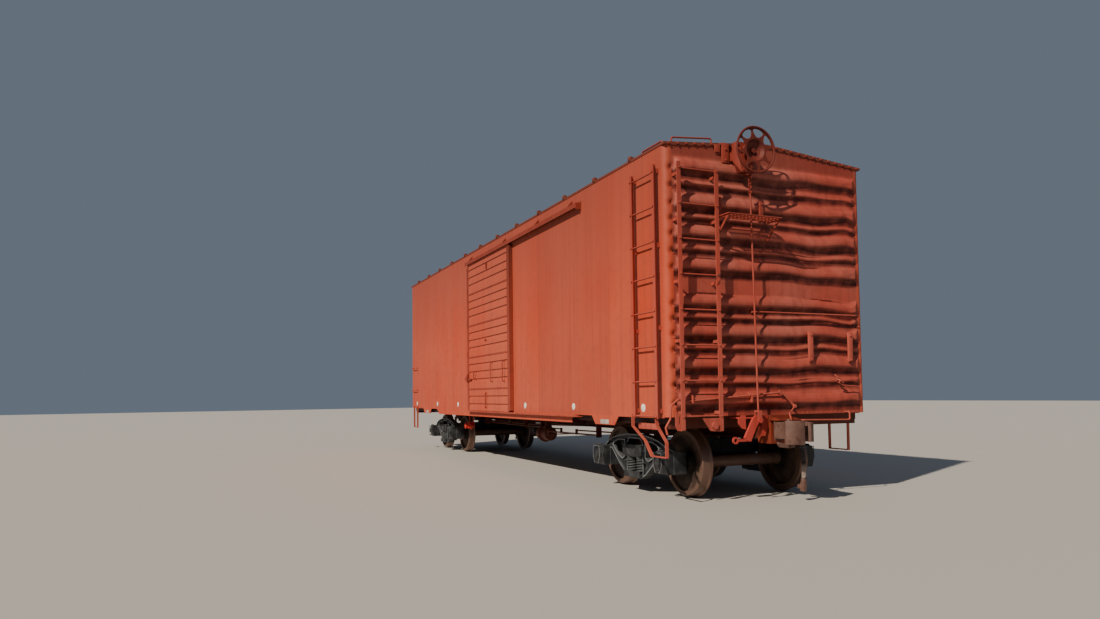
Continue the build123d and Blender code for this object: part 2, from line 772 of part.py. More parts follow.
# bell crank between two hanging plates, columns: y from the rod, z
crank_outline = [
    (-90, 1012),
    (-50, 1048),
    (30, 1040),
    (45, 985),
    (-20, 945),
    (-130, 742),
    (-200, 760),
    (-215, 790),
]
side_plate_outline = [
    (55, 1045),
    (165, 1042),
    (160, 905),
    (118, 800),
    (30, 795),
    (20, 850),
    (70, 940),
]
guard_outline = [
    (-178, 1052),
    (-178, 885),
    (-238, 900),
    (-282, 950),
    (-288, 985),
    (-270, 1025),
    (-228, 1052),
]
crank_pieces = [prism_x([(rod_low_y + y, z) for y, z in crank_outline], chain_x - 15, chain_x + 15),
                cyl_x(rod_low_y + 5, 992, 34, chain_x - 40, chain_x + 40),
                prism_x([(rod_low_y + y, z) for y, z in side_plate_outline], chain_x - 42, chain_x - 30),
                prism_x([(rod_low_y + y, z) for y, z in guard_outline], chain_x - 22, chain_x - 10),
                block(end_face_x - 110, chain_x - 10, rod_low_y - 230, rod_low_y - 190, 1010, 1030),
                block(end_face_x - 110, chain_x - 30, rod_low_y + 60, rod_low_y + 155, 1000, 1012),
                block(chain_x - 42, chain_x - 10, rod_low_y - 230, rod_low_y + 90, 1012, 1030)]
eye = cyl_x(rod_low_y - 340, 760, 42, chain_x - 10, chain_x + 10)
eye = eye - cyl_x(rod_low_y - 340, 760, 22, chain_x - 11, chain_x + 11)
crank_pieces.append(eye)
crank_pieces.append(block(chain_x - 9, chain_x + 9, rod_low_y - 305, rod_low_y - 110, 745, 775))
bell_crank = fuse(crank_pieces)
bell_crank = bell_crank - block(chain_x - 35, chain_x + 35, rod_low_y - 31, rod_low_y + 31, 1000, 1086)
save("bell_crank", bell_crank)

# couplers

shank_low_z = coupler_centre_z - 70.0
shank_high_z = coupler_centre_z + 70.0
striker_out = side_sheet_half + striker_reach
horn_z = 985.0
striker = block(side_sheet_half, striker_out, -striker_half, striker_half, 705, sheet_bottom_z)
striker = striker - block(side_sheet_half - 1, striker_out + 1, -95, 95, shank_low_z - 5, shank_high_z + 25)
striker = striker + block(striker_out - 10, striker_out + 178, -178, 150, horn_z, horn_z + 15)
striker_web = [
    (striker_out, horn_z + 15),
    (striker_out + 150, horn_z + 15),
    (striker_out, horn_z + 45),
]
for y in (-150, 130):
    striker = striker + prism_y(striker_web, y, y + 14)
save("strikers", *both(striker))

shank_back_x = pulling_face_x - 785.0
shank = block(shank_back_x, pulling_face_x - 245, -70, 70, shank_low_z, shank_high_z)
head_plan = [
    (pulling_face_x - 285, -75),
    (pulling_face_x - 265, -165),
    (pulling_face_x - 225, -190),
    (pulling_face_x - 65, -190),
    (pulling_face_x - 50, -150),
    (pulling_face_x - 105, -60),
    (pulling_face_x - 105, 60),
    (pulling_face_x - 55, 102),
    (pulling_face_x - 55, 175),
    (pulling_face_x - 145, 185),
    (pulling_face_x - 245, 130),
    (pulling_face_x - 285, 75),
]
head = prism_z(head_plan, coupler_centre_z - 81, coupler_centre_z + 114)
collar = block(pulling_face_x - 300, pulling_face_x - 262, -128, 128,
               coupler_centre_z - 110, coupler_centre_z + 122)
guard_plan = [
    (pulling_face_x - 120, 60),
    (pulling_face_x - 55, 98),
    (pulling_face_x + 10, 105),
    (pulling_face_x + 62, 68),
    (pulling_face_x + 76, 96),
    (pulling_face_x + 58, 150),
    (pulling_face_x - 20, 188),
    (pulling_face_x - 150, 186),
]
guard_arm = prism_z(guard_plan, coupler_centre_z - 118, coupler_centre_z + 106)
knuckle_plan = [
    (pulling_face_x - 95, -95),
    (pulling_face_x - 62, -178),
    (pulling_face_x - 30, -188),
    (pulling_face_x + 40, -130),
    (pulling_face_x + 76, -62),
    (pulling_face_x + 76, 2),
    (pulling_face_x + 50, 32),
    (pulling_face_x + 0, 28),
    (pulling_face_x - 10, -40),
    (pulling_face_x - 45, -70),
]
knuckle = prism_z(knuckle_plan, coupler_centre_z - 146, coupler_centre_z + 128)
knuckle_pin = cyl_z(pulling_face_x - 42, -128, 26, coupler_centre_z + 128, coupler_centre_z + 150)
lug = block(pulling_face_x - 145, pulling_face_x - 95, -60, 0, coupler_centre_z - 190, coupler_centre_z - 80)
lifter_section = [
    (-233, coupler_centre_z - 140),
    (-205, coupler_centre_z - 180),
    (-60, coupler_centre_z - 196),
    (0, coupler_centre_z - 190),
    (0, coupler_centre_z - 160),
    (-200, coupler_centre_z - 122),
    (-225, coupler_centre_z - 118),
]
lifter = prism_x(lifter_section, pulling_face_x - 135, pulling_face_x - 110)
coupler = fuse([shank, head, collar, guard_arm, knuckle, knuckle_pin, lug, lifter])
save("couplers", *both(coupler))
draft_gear = block(shank_back_x - 660, shank_back_x, -sill_inner, sill_inner, coupler_centre_z - 110,
                   coupler_centre_z + 110)
save("draft_gears", *both(draft_gear))

# uncoupling lever across the end, with its handle at the left corner
lever_x = end_face_x + 76.0
lever_dia = 24.0
# handle from its low end to where the bar runs straight, columns: y from the side, z
lever_handle_table = [
    (-72.0, 855.0),
    (-93.0, 935.0),
    (-30.0, 1029.0),
    (-16.0, 1182.0),
    (80.0, 1255.0),
    (158.0, 1225.0),
]
lever_points = [(lever_x, -body_half_width + y, z) for y, z in lever_handle_table]
lever = rod(lever_points + [(lever_x, 60, 1318)], lever_dia, 22)
lever = lever + cyl_x(48, 1316, 30, lever_x - 12, lever_x + 12)
lever_supports = []
for y in (-body_half_width + 262, -395.0):
    post = prism_y([(end_face_x, 1330), (lever_x + 22, 1288), (lever_x + 22, 1205), (lever_x - 22, 1205),
                    (end_face_x, 1180)], y, y + 14)
    lever_supports.append(post - end_wall)
link_outline = [
    (55, 1306),
    (80, 1316),
    (250, 1156),
    (225, 1136),
]
lever_link = prism_x(link_outline, lever_x + 12, lever_x + 24)
lift_rod = rod([(lever_x + 30, 236, 1150), (lever_x + 62, 150, 1088), (pulling_face_x - 185, 10, 1068),
                (pulling_face_x - 110, -30, coupler_centre_z + 125)], 16, 20)
lift_eye = cyl_x(236, 1150, 22, lever_x + 12, lever_x + 42)
uncoupling_lever = fuse([lever] + lever_supports + [lever_link, lift_eye, lift_rod])
save("uncoupling_levers", *both(uncoupling_lever))

# air brake gear under the floor

cylinder_y = -(body_half_width - 698.0)
cylinder_z = 633.0
cylinder_x0 = 870.0
cylinder_x1 = 1290.0
cylinder_piece = fuse([
    cyl_x(cylinder_y, cylinder_z, 118, cylinder_x0, cylinder_x1),
    cyl_x(cylinder_y, cylinder_z, 150, cylinder_x0 + 160, cylinder_x0 + 184),
    cyl_x(cylinder_y, cylinder_z, 70, cylinder_x0 - 40, cylinder_x0),
    cyl_x(cylinder_y, cylinder_z, 34, cylinder_x1, cylinder_x1 + 120),
    block(cylinder_x0 + 60, cylinder_x0 + 320, cylinder_y - 70, cylinder_y + 70, 730, 760),
    block(cylinder_x0 + 80, cylinder_x0 + 96, cylinder_y - 60, cylinder_y + 60, 750, floor_bottom_z),
    block(cylinder_x0 + 300, cylinder_x0 + 316, cylinder_y - 60, cylinder_y + 60, 750, floor_bottom_z),
])
save("brake_cylinder", cylinder_piece)
tank_y = body_half_width - 598.0
tank_z = 800.0
tank_x0 = 1560.0
tank_x1 = 2600.0
tank_pieces = [cyl_x(tank_y, tank_z, 200, tank_x0 + 50, tank_x1 - 50),
               cyl_x(tank_y, tank_z, 150, tank_x0, tank_x1)]
for x in (tank_x0 + 160, tank_x1 - 220):
    tank_pieces.append(cyl_x(tank_y, tank_z, 208, x, x + 60))
    tank_pieces.append(block(x, x + 60, tank_y - 90, tank_y - 70, tank_z + 170, floor_bottom_z))
    tank_pieces.append(block(x, x + 60, tank_y + 70, tank_y + 90, tank_z + 170, floor_bottom_z))
save("air_reservoir", fuse(tank_pieces))
valve_x = -2400.0
valve_y = -(body_half_width - 398.0)
valve_pieces = [block(valve_x - 190, valve_x + 190, valve_y - 8, valve_y + 8, 690, 765),
                block(valve_x - 110, valve_x + 110, valve_y - 90, valve_y - 8, 620, 750),
                cyl_y(valve_x - 40, 672, 62, valve_y - 130, valve_y - 90),
                cyl_y(valve_x + 150, 672, 44, valve_y - 70, valve_y + 8),
                block(valve_x - 250, valve_x - 110, valve_y - 60, valve_y - 20, 640, 690),
                block(valve_x - 60, valve_x + 60, valve_y - 8, valve_y + 8, 585, 700)]
for x in (valve_x - 150, valve_x + 120):
    valve_pieces.append(block(x, x + 30, valve_y - 8, valve_y + 8, 760, floor_bottom_z))
save("brake_valve", fuse(valve_pieces))

# brake rigging: levers at the cylinder and the rods that run to the trucks
rigging_z = 690.0
rigging_x0 = 1350.0
rod_dia = 26.0
live_lever = [
    (rigging_x0 + 40, cylinder_y - 130),
    (rigging_x0 + 95, cylinder_y - 130),
    (rigging_x0 + 105, -sill_half_width - 170),
    (rigging_x0 + 50, -sill_half_width - 170),
]
dead_lever = [
    (cylinder_x0 - 120, cylinder_y - 110),
    (cylinder_x0 - 65, cylinder_y - 110),
    (cylinder_x0 - 75, -sill_half_width - 170),
    (cylinder_x0 - 130, -sill_half_width - 170),
]
inner_rod_y = -sill_half_width - 200.0
outer_rod_y = cylinder_y - 100.0
rigging = [
    prism_z(live_lever, cylinder_z - 8, cylinder_z + 8) - cyl_x(cylinder_y, cylinder_z, 36, 1350, 1500),
    prism_z(dead_lever, cylinder_z - 8, cylinder_z + 8),
    rod([(rigging_x0 + 68, outer_rod_y, rigging_z), (1990, outer_rod_y, rigging_z),
         (3360, outer_rod_y, rigging_z + 8)], rod_dia),
    rod([(rigging_x0 + 80, inner_rod_y, rigging_z), (3500, inner_rod_y, rigging_z + 20)], rod_dia),
    rod([(cylinder_x0 - 100, inner_rod_y, rigging_z), (-3500, inner_rod_y, rigging_z + 20)], rod_dia),
]
pins = [(rigging_x0 + 68, outer_rod_y), (rigging_x0 + 80, inner_rod_y), (cylinder_x0 - 100, inner_rod_y)]
for x, y in pins:
    rigging.append(cyl_z(x, y, 24, cylinder_z - 20, rigging_z + 22))
guide_table = [(3350.0, outer_rod_y), (3480.0, inner_rod_y), (-3480.0, inner_rod_y), (-1000.0, inner_rod_y)]
for x, y in guide_table:
    rigging.append(block(x - 8, x + 8, y - 45, y + 45, rigging_z - 25, floor_bottom_z))
save("brake_rigging", fuse(rigging))

# train pipe from end to end, crossing under the centre sill, with its cocks
pipe_y = 262.0
pipe_z = 735.0
pipe_dia = 42.0
cock_x = side_sheet_half + 220.0
train_pipe = rod([(cock_x, pipe_y, pipe_z), (700, pipe_y, pipe_z), (-700, -pipe_y, pipe_z),
                  (-cock_x, -pipe_y, pipe_z)], pipe_dia, 150)
for x in (truck_centre_x - 2600, truck_centre_x - 800, truck_centre_x + 700, side_sheet_half - 80):
    clamp = block(x - 15, x + 15, flange_out, pipe_y + 30, pipe_z - 26, sill_bottom_z + 12)
    train_pipe = train_pipe + clamp + turned(clamp)
save("train_pipe", train_pipe)
cock_body = cyl_x(pipe_y, pipe_z, 34, cock_x, cock_x + 56)
cock_body = cock_body + cyl_z(cock_x + 28, pipe_y, 16, pipe_z + 20, pipe_z + 60)
cock_handle = block(cock_x - 40, cock_x + 40, pipe_y - 8, pipe_y + 8, pipe_z + 60, pipe_z + 70)

# air hose: hangs from the cock, straight runs joined by tangent arcs
hose_dia = 54.0
hose_points = [
    (cock_x + 50, pipe_y, 690.0),
    (cock_x + 78, pipe_y, 590.0),
    (cock_x + 94, pipe_y, 480.0),
    (cock_x + 98, pipe_y, 370.0),
    (cock_x + 88, pipe_y, 272.0),
]


def cord_radii(points):
    """Largest tangent arc that each pair of runs allows."""
    spots = [Vector(*p) for p in points]
    radii = []
    for before, here, after in zip(spots, spots[1:], spots[2:]):
        first = here - before
        second = after - here
        half_turn = radians(first.get_angle(second) / 2)
        radii.append(0.45 * min(first.length, second.length) * cos(half_turn) / sin(half_turn))
    return radii


hose_radii = cord_radii(hose_points)
hose_path = FilletPolyline(*hose_points, radius=hose_radii)
hose_start = Plane(origin=hose_path @ 0, z_dir=hose_path % 0)
hose = sweep(hose_start * Circle(hose_dia / 2), path=hose_path)
print("hose radii", [round(r) for r in hose_radii])
print("hose length", round(hose_path.length, 1), "volume share",
      round(hose.volume / (pi * hose_dia ** 2 / 4 * hose_path.length), 4))
save("air_hose_b", hose)
save("air_hose_a", turned(hose))
nipple = extrude(hose_start * Circle(hose_dia / 2 + 6), amount=-62)
save("angle_cocks", *both(cock_body + cock_handle + nipple))
hose_end = Plane(origin=hose_path @ 1, z_dir=hose_path % 1)
glad_hand = extrude(hose_end * Circle(hose_dia / 2 + 6), amount=38)
glad_hand = glad_hand + extrude(hose_end.offset(38) * Rectangle(60, 48), amount=110)
glad_hand = glad_hand + extrude(hose_end.offset(78) * Pos(28, 0) * Rectangle(84, 66), amount=44)
save("glad_hands", *both(glad_hand))

# trucks

# wheel: dished plate between hub and rim, with flange
wheel_back = back_to_back / 2
axle_seat = 82.0
wheel_profile = [
    (axle_seat, wheel_back - 22),
    (axle_seat + 44, wheel_back - 22),
    (axle_seat + 50, wheel_back + 25),
    (340, wheel_back + 70),
    (352, wheel_back),
    (tread_radius + flange_height - 8, wheel_back),
    (tread_radius + flange_height, wheel_back + 10),
    (tread_radius + flange_height - 4, wheel_back + 24),
    (tread_radius + 3, wheel_back + 38),
    (tread_radius - 4, wheel_back + rim_width - 8),
    (tread_radius - 12, wheel_back + rim_width),
    (358, wheel_back + rim_width),
    (345, wheel_back + 98),
    (axle_seat + 62, wheel_back + 62),
    (axle_seat + 50, wheel_back + 150),
    (axle_seat, wheel_back + 150),
]
wheel = revolve(Plane.XY * Polygon(*wheel_profile, align=None), axis=Axis.Y)
axle_profile = [
    (0, -1105),
    (journal_radius, -1105),
    (journal_radius, -wheel_back - 160),
    (axle_seat, -wheel_back - 150),
    (axle_seat, -wheel_back + 22),
    (74, -wheel_back + 80),
    (74, wheel_back - 80),
    (axle_seat, wheel_back - 22),
    (axle_seat, wheel_back + 150),
    (journal_radius, wheel_back + 160),
    (journal_radius, 1105),
    (0, 1105),
]
axle = revolve(Plane.XY * Polygon(*axle_profile, align=None), axis=Axis.Y)

# side frame: cast truss with flanged edges and a journal box at each end
frame_inner_y = journal_centre_y - 60.0
frame_outer_y = journal_centre_y + 60.0
column_inner = 205.0
column_outer = 283.0
seat_z = 250.0
# one half of the outline from the middle of the top to the middle of the bottom
frame_half = [
    (215, 779),
    (447, 750),
    (597, 720),
    (751, 666),
    (865, 592),
    (960, 585),
    (960, 330),
    (715, 330),
    (715, 558),
    (648, 550),
    (459, 376),
    (277, 243),
    (155, 187),
]
frame_outline = frame_half + [(-x, z) for x, z in reversed(frame_half)]
end_window = [
    (column_outer, 684),
    (449, 681),
    (569, 647),
    (612, 612),
    (572, 576),
    (440, 480),
    (352, 440),
    (column_outer, 475),
]
centre_window = [
    (-column_inner, seat_z),
    (column_inner, seat_z),
    (column_inner, 650),
    (150, 717),
    (-150, 717),
    (-column_inner, 650),
]
windows = [centre_window, end_window, [(-x, z) for x, z in end_window]]
frame_plate = prism_y(frame_outline, -frame_outer_y, -frame_inner_y)
flange_thick = 17.0
pocket_depth = 30.0
pocket_y = -frame_outer_y + pocket_depth
pockets = prism_y(grown(frame_outline, -flange_thick), -frame_outer_y - 1, pocket_y)
for window in windows:
    frame_plate = frame_plate - prism_y(window, -frame_outer_y - 1, -frame_inner_y + 1)
    pockets = pockets - prism_y(grown(window, flange_thick), -frame_outer_y - 2, pocket_y + 1)
side_frame = frame_plate - pockets
seat_section = [
    (-journal_centre_y - 115, 286),
    (-journal_centre_y - 115, 205),
    (-journal_centre_y + 115, 205),
    (-journal_centre_y + 115, seat_z),
    (-journal_centre_y - 100, seat_z),
    (-journal_centre_y - 100, 286),
]
side_frame = side_frame + prism_x(seat_section, -column_inner, column_inner)
box_section = [
    (-870, 315),
    (-1140, 315),
    (-1178, 440),
    (-1146, 592),
    (-870, 592),
]
lid_section = [
    (-1130, 440),
    (-1205, 440),
    (-1165, 590),
    (-1130, 600),
]
for x in (-half_wheelbase, half_wheelbase):
    side_frame = side_frame + prism_x(box_section, x - 135, x + 135)
    side_frame = side_frame + prism_x(lid_section, x - 110, x + 110)
    side_frame = side_frame + cyl_x(-1150, 600, 16, x - 60, x + 60)
for x in (-half_wheelbase, half_wheelbase):
    side_frame = side_frame - cyl_y(x, axle_z, journal_radius + seat_gap, -1112, -869)

# truck bolster: beam across the truck, ends carried on the springs
bolster_top = 640.0
bolster_low = 480.0
bolster_slack = 5.0
truck_bolster_section = [
    (-1090, bolster_low),
    (-700, bolster_low),
    (-420, 430),
    (420, 430),
    (700, bolster_low),
    (1090, bolster_low),
    (1090, 600),
    (1060, bolster_top),
    (400, 668),
    (-400, 668),
    (-1060, bolster_top),
    (-1090, 600),
]
truck_bolster = prism_x(truck_bolster_section, -160, 160)
end_half = column_inner - bolster_slack
gib_half = column_outer - 31.0
gib_y0 = frame_outer_y + 2.0
gib_y1 = journal_centre_y + 108.0
for side in (-1, 1):
    truck_bolster = truck_bolster + block(-end_half, end_half, side * (frame_inner_y - 30), side * gib_y1,
                                          bolster_low, bolster_top)
    gib = block(-gib_half, gib_half, side * gib_y0, side * gib_y1, 495, bolster_top)
    for x0 in (-190, 20):
        gib = gib - block(x0, x0 + 170, side * (gib_y1 - 30), side * (gib_y1 + 1), 522, 612)
    truck_bolster = truck_bolster + gib
center_bowl = (cyl_z(0, 0, center_plate_radius + 25, 660, bowl_floor_z + 12)
               - cyl_z(0, 0, center_plate_radius + 5, bowl_floor_z, bowl_floor_z + 13))
truck_bolster = truck_bolster + center_bowl

# coil springs, two columns at each side
cap_z = bolster_low - 28.0
spring_height = cap_z - seat_z
wire = 26.0
coil_radius = 60.0
turns = 5.0


def coil(x, y):
    """One coil spring standing on the spring seat."""
    rise = spring_height - wire
    path = Helix(pitch=rise / turns, height=rise, radius=coil_radius)
    ring = Plane(origin=path @ 0, z_dir=path % 0) * RegularPolygon(wire / 2, 6)
    spring = sweep(ring, path=path, is_frenet=True)
    return Pos(x, y, seat_z + wire / 2) * spring


springs = []
for side in (-1, 1):
    for x in (-125.0, 125.0):
        y = side * (journal_centre_y + 25)
        springs.append(coil(x, y))
        springs.append(cyl_z(x, y, coil_radius + wire / 2, cap_z, bolster_low))

# brake beams and shoes between the wheels and the bolster
beam_x = 262.0
shoe_gap = 6.0
brake_pieces = []
for side in (-1, 1):
    beam = block(side * (beam_x - 30), side * (beam_x + 30), -700, 700, 400, 450)
    for y in (-1, 1):
        tread = cyl_y(side * half_wheelbase, axle_z, tread_radius + shoe_gap + 38, y * 714, y * 794)
        tread = tread - cyl_y(side * half_wheelbase, axle_z, tread_radius + shoe_gap, y * 713, y * 795)
        shoe = tread & block(side * 340, side * 480, y * 713, y * 795, 320, 560)
        head = block(side * (beam_x - 30), side * 390, y * 690, y * 786, 400, 450)
        head = head - cyl_y(side * half_wheelbase, axle_z, tread_radius + flange_height + shoe_gap,
                            y * 600, y * 800)
        guide = block(side * (beam_x - 22), side * (beam_x + 22), y * 690, y * frame_inner_y, 404, 446)
        beam = beam + head + guide + shoe
    brake_pieces.append(beam)

truck_table = [("b", 1), ("a", -1)]
for tag, sign in truck_table:
    spot = Pos(sign * truck_centre_x, 0, 0) * Rot(0, 0, 0 if sign > 0 else 180)
    frames = [side_frame, turned(side_frame)]
    save(f"truck_{tag}_side_frames", *[spot * s for s in frames])
    save(f"truck_{tag}_bolster", spot * truck_bolster)
    save(f"truck_{tag}_springs", *[spot * s for s in springs])
    save(f"truck_{tag}_brake_beams", *[spot * s for s in brake_pieces])
    for number, x in ((1, half_wheelbase), (2, -half_wheelbase)):
        seat = spot * Pos(x, 0, axle_z)
        wheels = [seat * wheel, seat * Rot(0, 0, 180) * wheel]
        save(f"wheels_{tag}{number}", *wheels)
        save(f"axle_{tag}{number}", seat * axle)
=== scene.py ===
import bpy
from math import cos, exp, radians, sin
from mathutils import Matrix, Vector


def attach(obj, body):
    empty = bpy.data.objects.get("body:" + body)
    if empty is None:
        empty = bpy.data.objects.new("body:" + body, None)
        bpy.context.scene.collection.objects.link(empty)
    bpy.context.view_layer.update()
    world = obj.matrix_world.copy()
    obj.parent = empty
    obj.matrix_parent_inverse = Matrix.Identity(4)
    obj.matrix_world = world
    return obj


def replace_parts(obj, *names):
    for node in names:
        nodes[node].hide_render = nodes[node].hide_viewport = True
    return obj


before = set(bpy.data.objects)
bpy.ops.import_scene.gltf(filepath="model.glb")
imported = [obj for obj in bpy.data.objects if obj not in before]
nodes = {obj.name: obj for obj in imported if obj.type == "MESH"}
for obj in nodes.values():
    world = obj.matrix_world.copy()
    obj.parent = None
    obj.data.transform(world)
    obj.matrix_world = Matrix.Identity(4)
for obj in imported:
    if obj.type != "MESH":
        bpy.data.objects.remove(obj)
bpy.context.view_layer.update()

# Camera
# A wide lens at head height, low beside the near end of the car, looking back
# along the side. Its place and angles were solved from the photograph.

photo_width = 1100
photo_height = 619
focal_pixels = 769.0
centre_row = 360.8
eye = Vector((13.847, -6.256, 1.318))
heading = radians(23.475)
pitch = radians(2.568)
roll = radians(-0.726)

level = Vector((-cos(heading), sin(heading), 0))
across = Vector((sin(heading), cos(heading), 0))
upward = Vector((0, 0, 1))
forward = level * cos(pitch) + upward * sin(pitch)
raised = upward * cos(pitch) - level * sin(pitch)
right = across * cos(roll) + raised * sin(roll)
above = raised * cos(roll) - across * sin(roll)

lens = bpy.data.cameras.new("photo_view")
lens.sensor_width = 36
lens.lens = focal_pixels / photo_width * 36
lens.shift_y = (centre_row - photo_height / 2) / photo_width
lens.clip_end = 200
camera = bpy.data.objects.new("photo_view", lens)
bpy.context.scene.collection.objects.link(camera)
turn = Matrix((right, above, -forward)).transposed().to_4x4()
camera.matrix_world = Matrix.Translation(eye) @ turn
bpy.context.scene.camera = camera


# Air hoses
# Reinforced rubber brake hose, extruded over cord plies, hanging from the angle
# cock at each end. Its lower half is grey with dust, and steel bands grip both ends.

def linear(code, alpha=1.0):
    """sRGB hex value to linear colour."""
    shares = [int(code[i:i + 2], 16) / 255 for i in (1, 3, 5)]
    return [s / 12.92 if s <= 0.04045 else ((s + 0.055) / 1.055) ** 2.4 for s in shares] + [alpha]


def add(tree, kind, gives=None, inputs=None, **settings):
    """One node with its settings and links. It gives the output that is named, or else the node."""
    node = tree.nodes.new(kind)
    for key, value in settings.items():
        setattr(node, key, value)
    for key, value in (inputs or {}).items():
        if isinstance(value, bpy.types.NodeSocket):
            tree.links.new(value, node.inputs[key])
        else:
            node.inputs[key].default_value = value
    return node if gives is None else node.outputs[gives]


def start_material(name):
    """Empty node tree with Object coordinates."""
    material = bpy.data.materials.new(name)
    material.use_nodes = True
    tree = material.node_tree
    tree.nodes.clear()
    return material, tree, add(tree, "ShaderNodeTexCoord", "Object")


def layered(tree, ground, *layers):
    """Colours laid over a ground colour, one after another.

    A layer has its pattern, the levels at which it starts and is full, its greatest share and its
    colour. A colour is an sRGB hex value or the output of a node.
    """
    for pattern, start, full, most, tone in layers:
        share = add(tree, "ShaderNodeMapRange", "Result",
                    {"Value": pattern, "From Min": start, "From Max": full, "To Max": most})
        ground, tone = [linear(c) if isinstance(c, str) else c for c in (ground, tone)]
        # sockets 6 and 7 take the two colours and output 2 gives the mixed one
        ground = add(tree, "ShaderNodeMix", 2, {"Factor": share, 6: ground, 7: tone}, data_type="RGBA")
    return ground


def alone(piece):
    """Only this piece selected and active."""
    bpy.ops.object.select_all(action="DESELECT")
    piece.select_set(True)
    bpy.context.view_layer.objects.active = piece


def primitive(kind, **settings):
    """A new primitive on its own, with its place and size already in its mesh."""
    bpy.ops.object.select_all(action="DESELECT")
    getattr(bpy.ops.mesh, "primitive_" + kind + "_add")(**settings)
    piece = bpy.context.object
    alone(piece)
    bpy.ops.object.transform_apply(location=True, rotation=True, scale=True)
    return piece


def rounded(piece, width, segments=2):
    """Edges broken by a bevel."""
    alone(piece)
    edge = piece.modifiers.new("edge", "BEVEL")
    edge.width = width
    edge.segments = segments
    edge.limit_method = "ANGLE"
    bpy.ops.object.modifier_apply(modifier="edge")
    bpy.ops.object.shade_smooth_by_angle(angle=radians(35))
    return piece


def slab(low, high, width=0.002):
    """Flat steel piece between two corners, its edges broken."""
    middle = [(a + b) / 2 for a, b in zip(low, high)]
    size = [b - a for a, b in zip(low, high)]
    return rounded(primitive("cube", size=1, location=middle, scale=size), width)


def round_piece(start, end, radius, vertices=16, width=0.002):
    """Round bar or disc from one point to another, its rims broken."""
    start, end = Vector(start), Vector(end)
    along = end - start
    turned = along.to_track_quat("Z", "Y").to_euler()
    return rounded(primitive("cylinder", vertices=vertices, radius=radius, depth=along.length,
                             location=(start + end) / 2, rotation=turned), width)


def finished(name, pieces, material, body):
    """Pieces joined into one, with its material, riding on its body."""
    alone(pieces[0])
    for piece in pieces:
        piece.select_set(True)
    if len(pieces) > 1:
        bpy.ops.object.join()
    whole = bpy.context.object
    whole.name = name
    whole.data.name = name
    whole.data.materials.clear()
    whole.data.materials.append(material)
    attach(whole, body)
    return whole


hose_diameter = 0.054
hose_points = [
    (6.450, 0.262, 0.690),
    (6.478, 0.262, 0.590),
    (6.494, 0.262, 0.480),
    (6.498, 0.262, 0.370),
    (6.488, 0.262, 0.272),
]
dust_top = 0.46
dust_full = 0.41

# the bands sit between two points of the hose, a share of the way along, and each takes up this share
band_places = ((0, 1, 0.12), (0, 1, 0.35), (3, 4, 0.80))
band_share = 0.14
band_thickness = 0.003

# the car has the same outfit at opposite corners, half a turn about its middle
half_turn = Matrix.Rotation(radians(180), 4, "Z")

# moulded and wrapped rubber, matt, scuffed in patches of 40 mm; its cord plies are drawn 16 mm wide
# so that they show faintly under the skin
hose_rubber, tree, place = start_material("aged brake hose rubber")
ply = add(tree, "ShaderNodeTexWave", "Fac", {"Vector": place, "Scale": 40.0, "Distortion": 1.0},
          bands_direction="DIAGONAL")
scuffs = add(tree, "ShaderNodeTexNoise", "Fac", {"Vector": place, "Scale": 25.0, "Detail": 6.0})
height = add(tree, "ShaderNodeSeparateXYZ", "Z", {"Vector": place})
clean = layered(tree, "#1d1b1b", (scuffs, 0.45, 0.75, 1.0, "#4d443f"))
dust = layered(tree, "#8f8078", (scuffs, 0.45, 0.75, 1.0, "#665950"))
colour = layered(tree, clean, (height, dust_top, dust_full, 1.0, dust))
bump = add(tree, "ShaderNodeBump", "Normal", {"Height": ply, "Strength": 0.25, "Distance": 0.001})
shader = add(tree, "ShaderNodeBsdfPrincipled", "BSDF", {"Base Color": colour, "Roughness": 0.8, "Normal": bump})
add(tree, "ShaderNodeOutputMaterial", inputs={"Surface": shader})

# zinc plated steel, gone dull and browned in blooms of 17 mm
band_steel, tree, place = start_material("galvanised hose bands")
bloom = add(tree, "ShaderNodeTexNoise", "Fac", {"Vector": place, "Scale": 60.0, "Detail": 5.0})
colour = layered(tree, "#6f6a66", (bloom, 0.35, 0.7, 1.0, "#4a3e39"))
shader = add(tree, "ShaderNodeBsdfPrincipled", "BSDF",
             {"Base Color": colour, "Metallic": 0.8, "Roughness": 0.55})
add(tree, "ShaderNodeOutputMaterial", inputs={"Surface": shader})

for end, sign in (("b", 1), ("a", -1)):
    bands = []
    for first, second, share in band_places:
        upper, lower = [Vector(hose_points[first]).lerp(Vector(hose_points[second]), part)
                        for part in (share, share + band_share)]
        bands.append(round_piece(upper, lower, hose_diameter / 2 + band_thickness, 20, 0.0015))
        bands.append(slab((upper.x - 0.008, upper.y + 0.026, lower.z),
                          (upper.x + 0.008, upper.y + 0.046, upper.z)))
    if sign < 0:
        for piece in bands:
            piece.data.transform(half_turn)
    hose_bands = finished("hose_bands_" + end, bands, band_steel, "carbody")

    curve = bpy.data.curves.new("air_hose_" + end, "CURVE")
    curve.dimensions = "3D"
    spline = curve.splines.new("NURBS")
    spline.points.add(len(hose_points) - 1)
    for point, (x, y, z) in zip(spline.points, hose_points):
        point.co = (sign * x, sign * y, z, 1)
    spline.order_u = 3
    spline.use_endpoint_u = True
    curve.resolution_u = 12
    curve.bevel_depth = hose_diameter / 2
    curve.bevel_resolution = 5
    curve.use_fill_caps = True
    curve.materials.append(hose_rubber)
    hose = bpy.data.objects.new("hose_" + end, curve)
    bpy.context.scene.collection.objects.link(hose)
    x, y, z = hose_points[0]
    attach(hose, "carbody")
    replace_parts(hose, "air_hose_" + end)


# Side sheets
# Steel sheets welded edge to edge over posts, sprayed in one coat of alkyd freight
# car red. Sun has chalked it in soft upright bands and rain has drawn faint streaks.

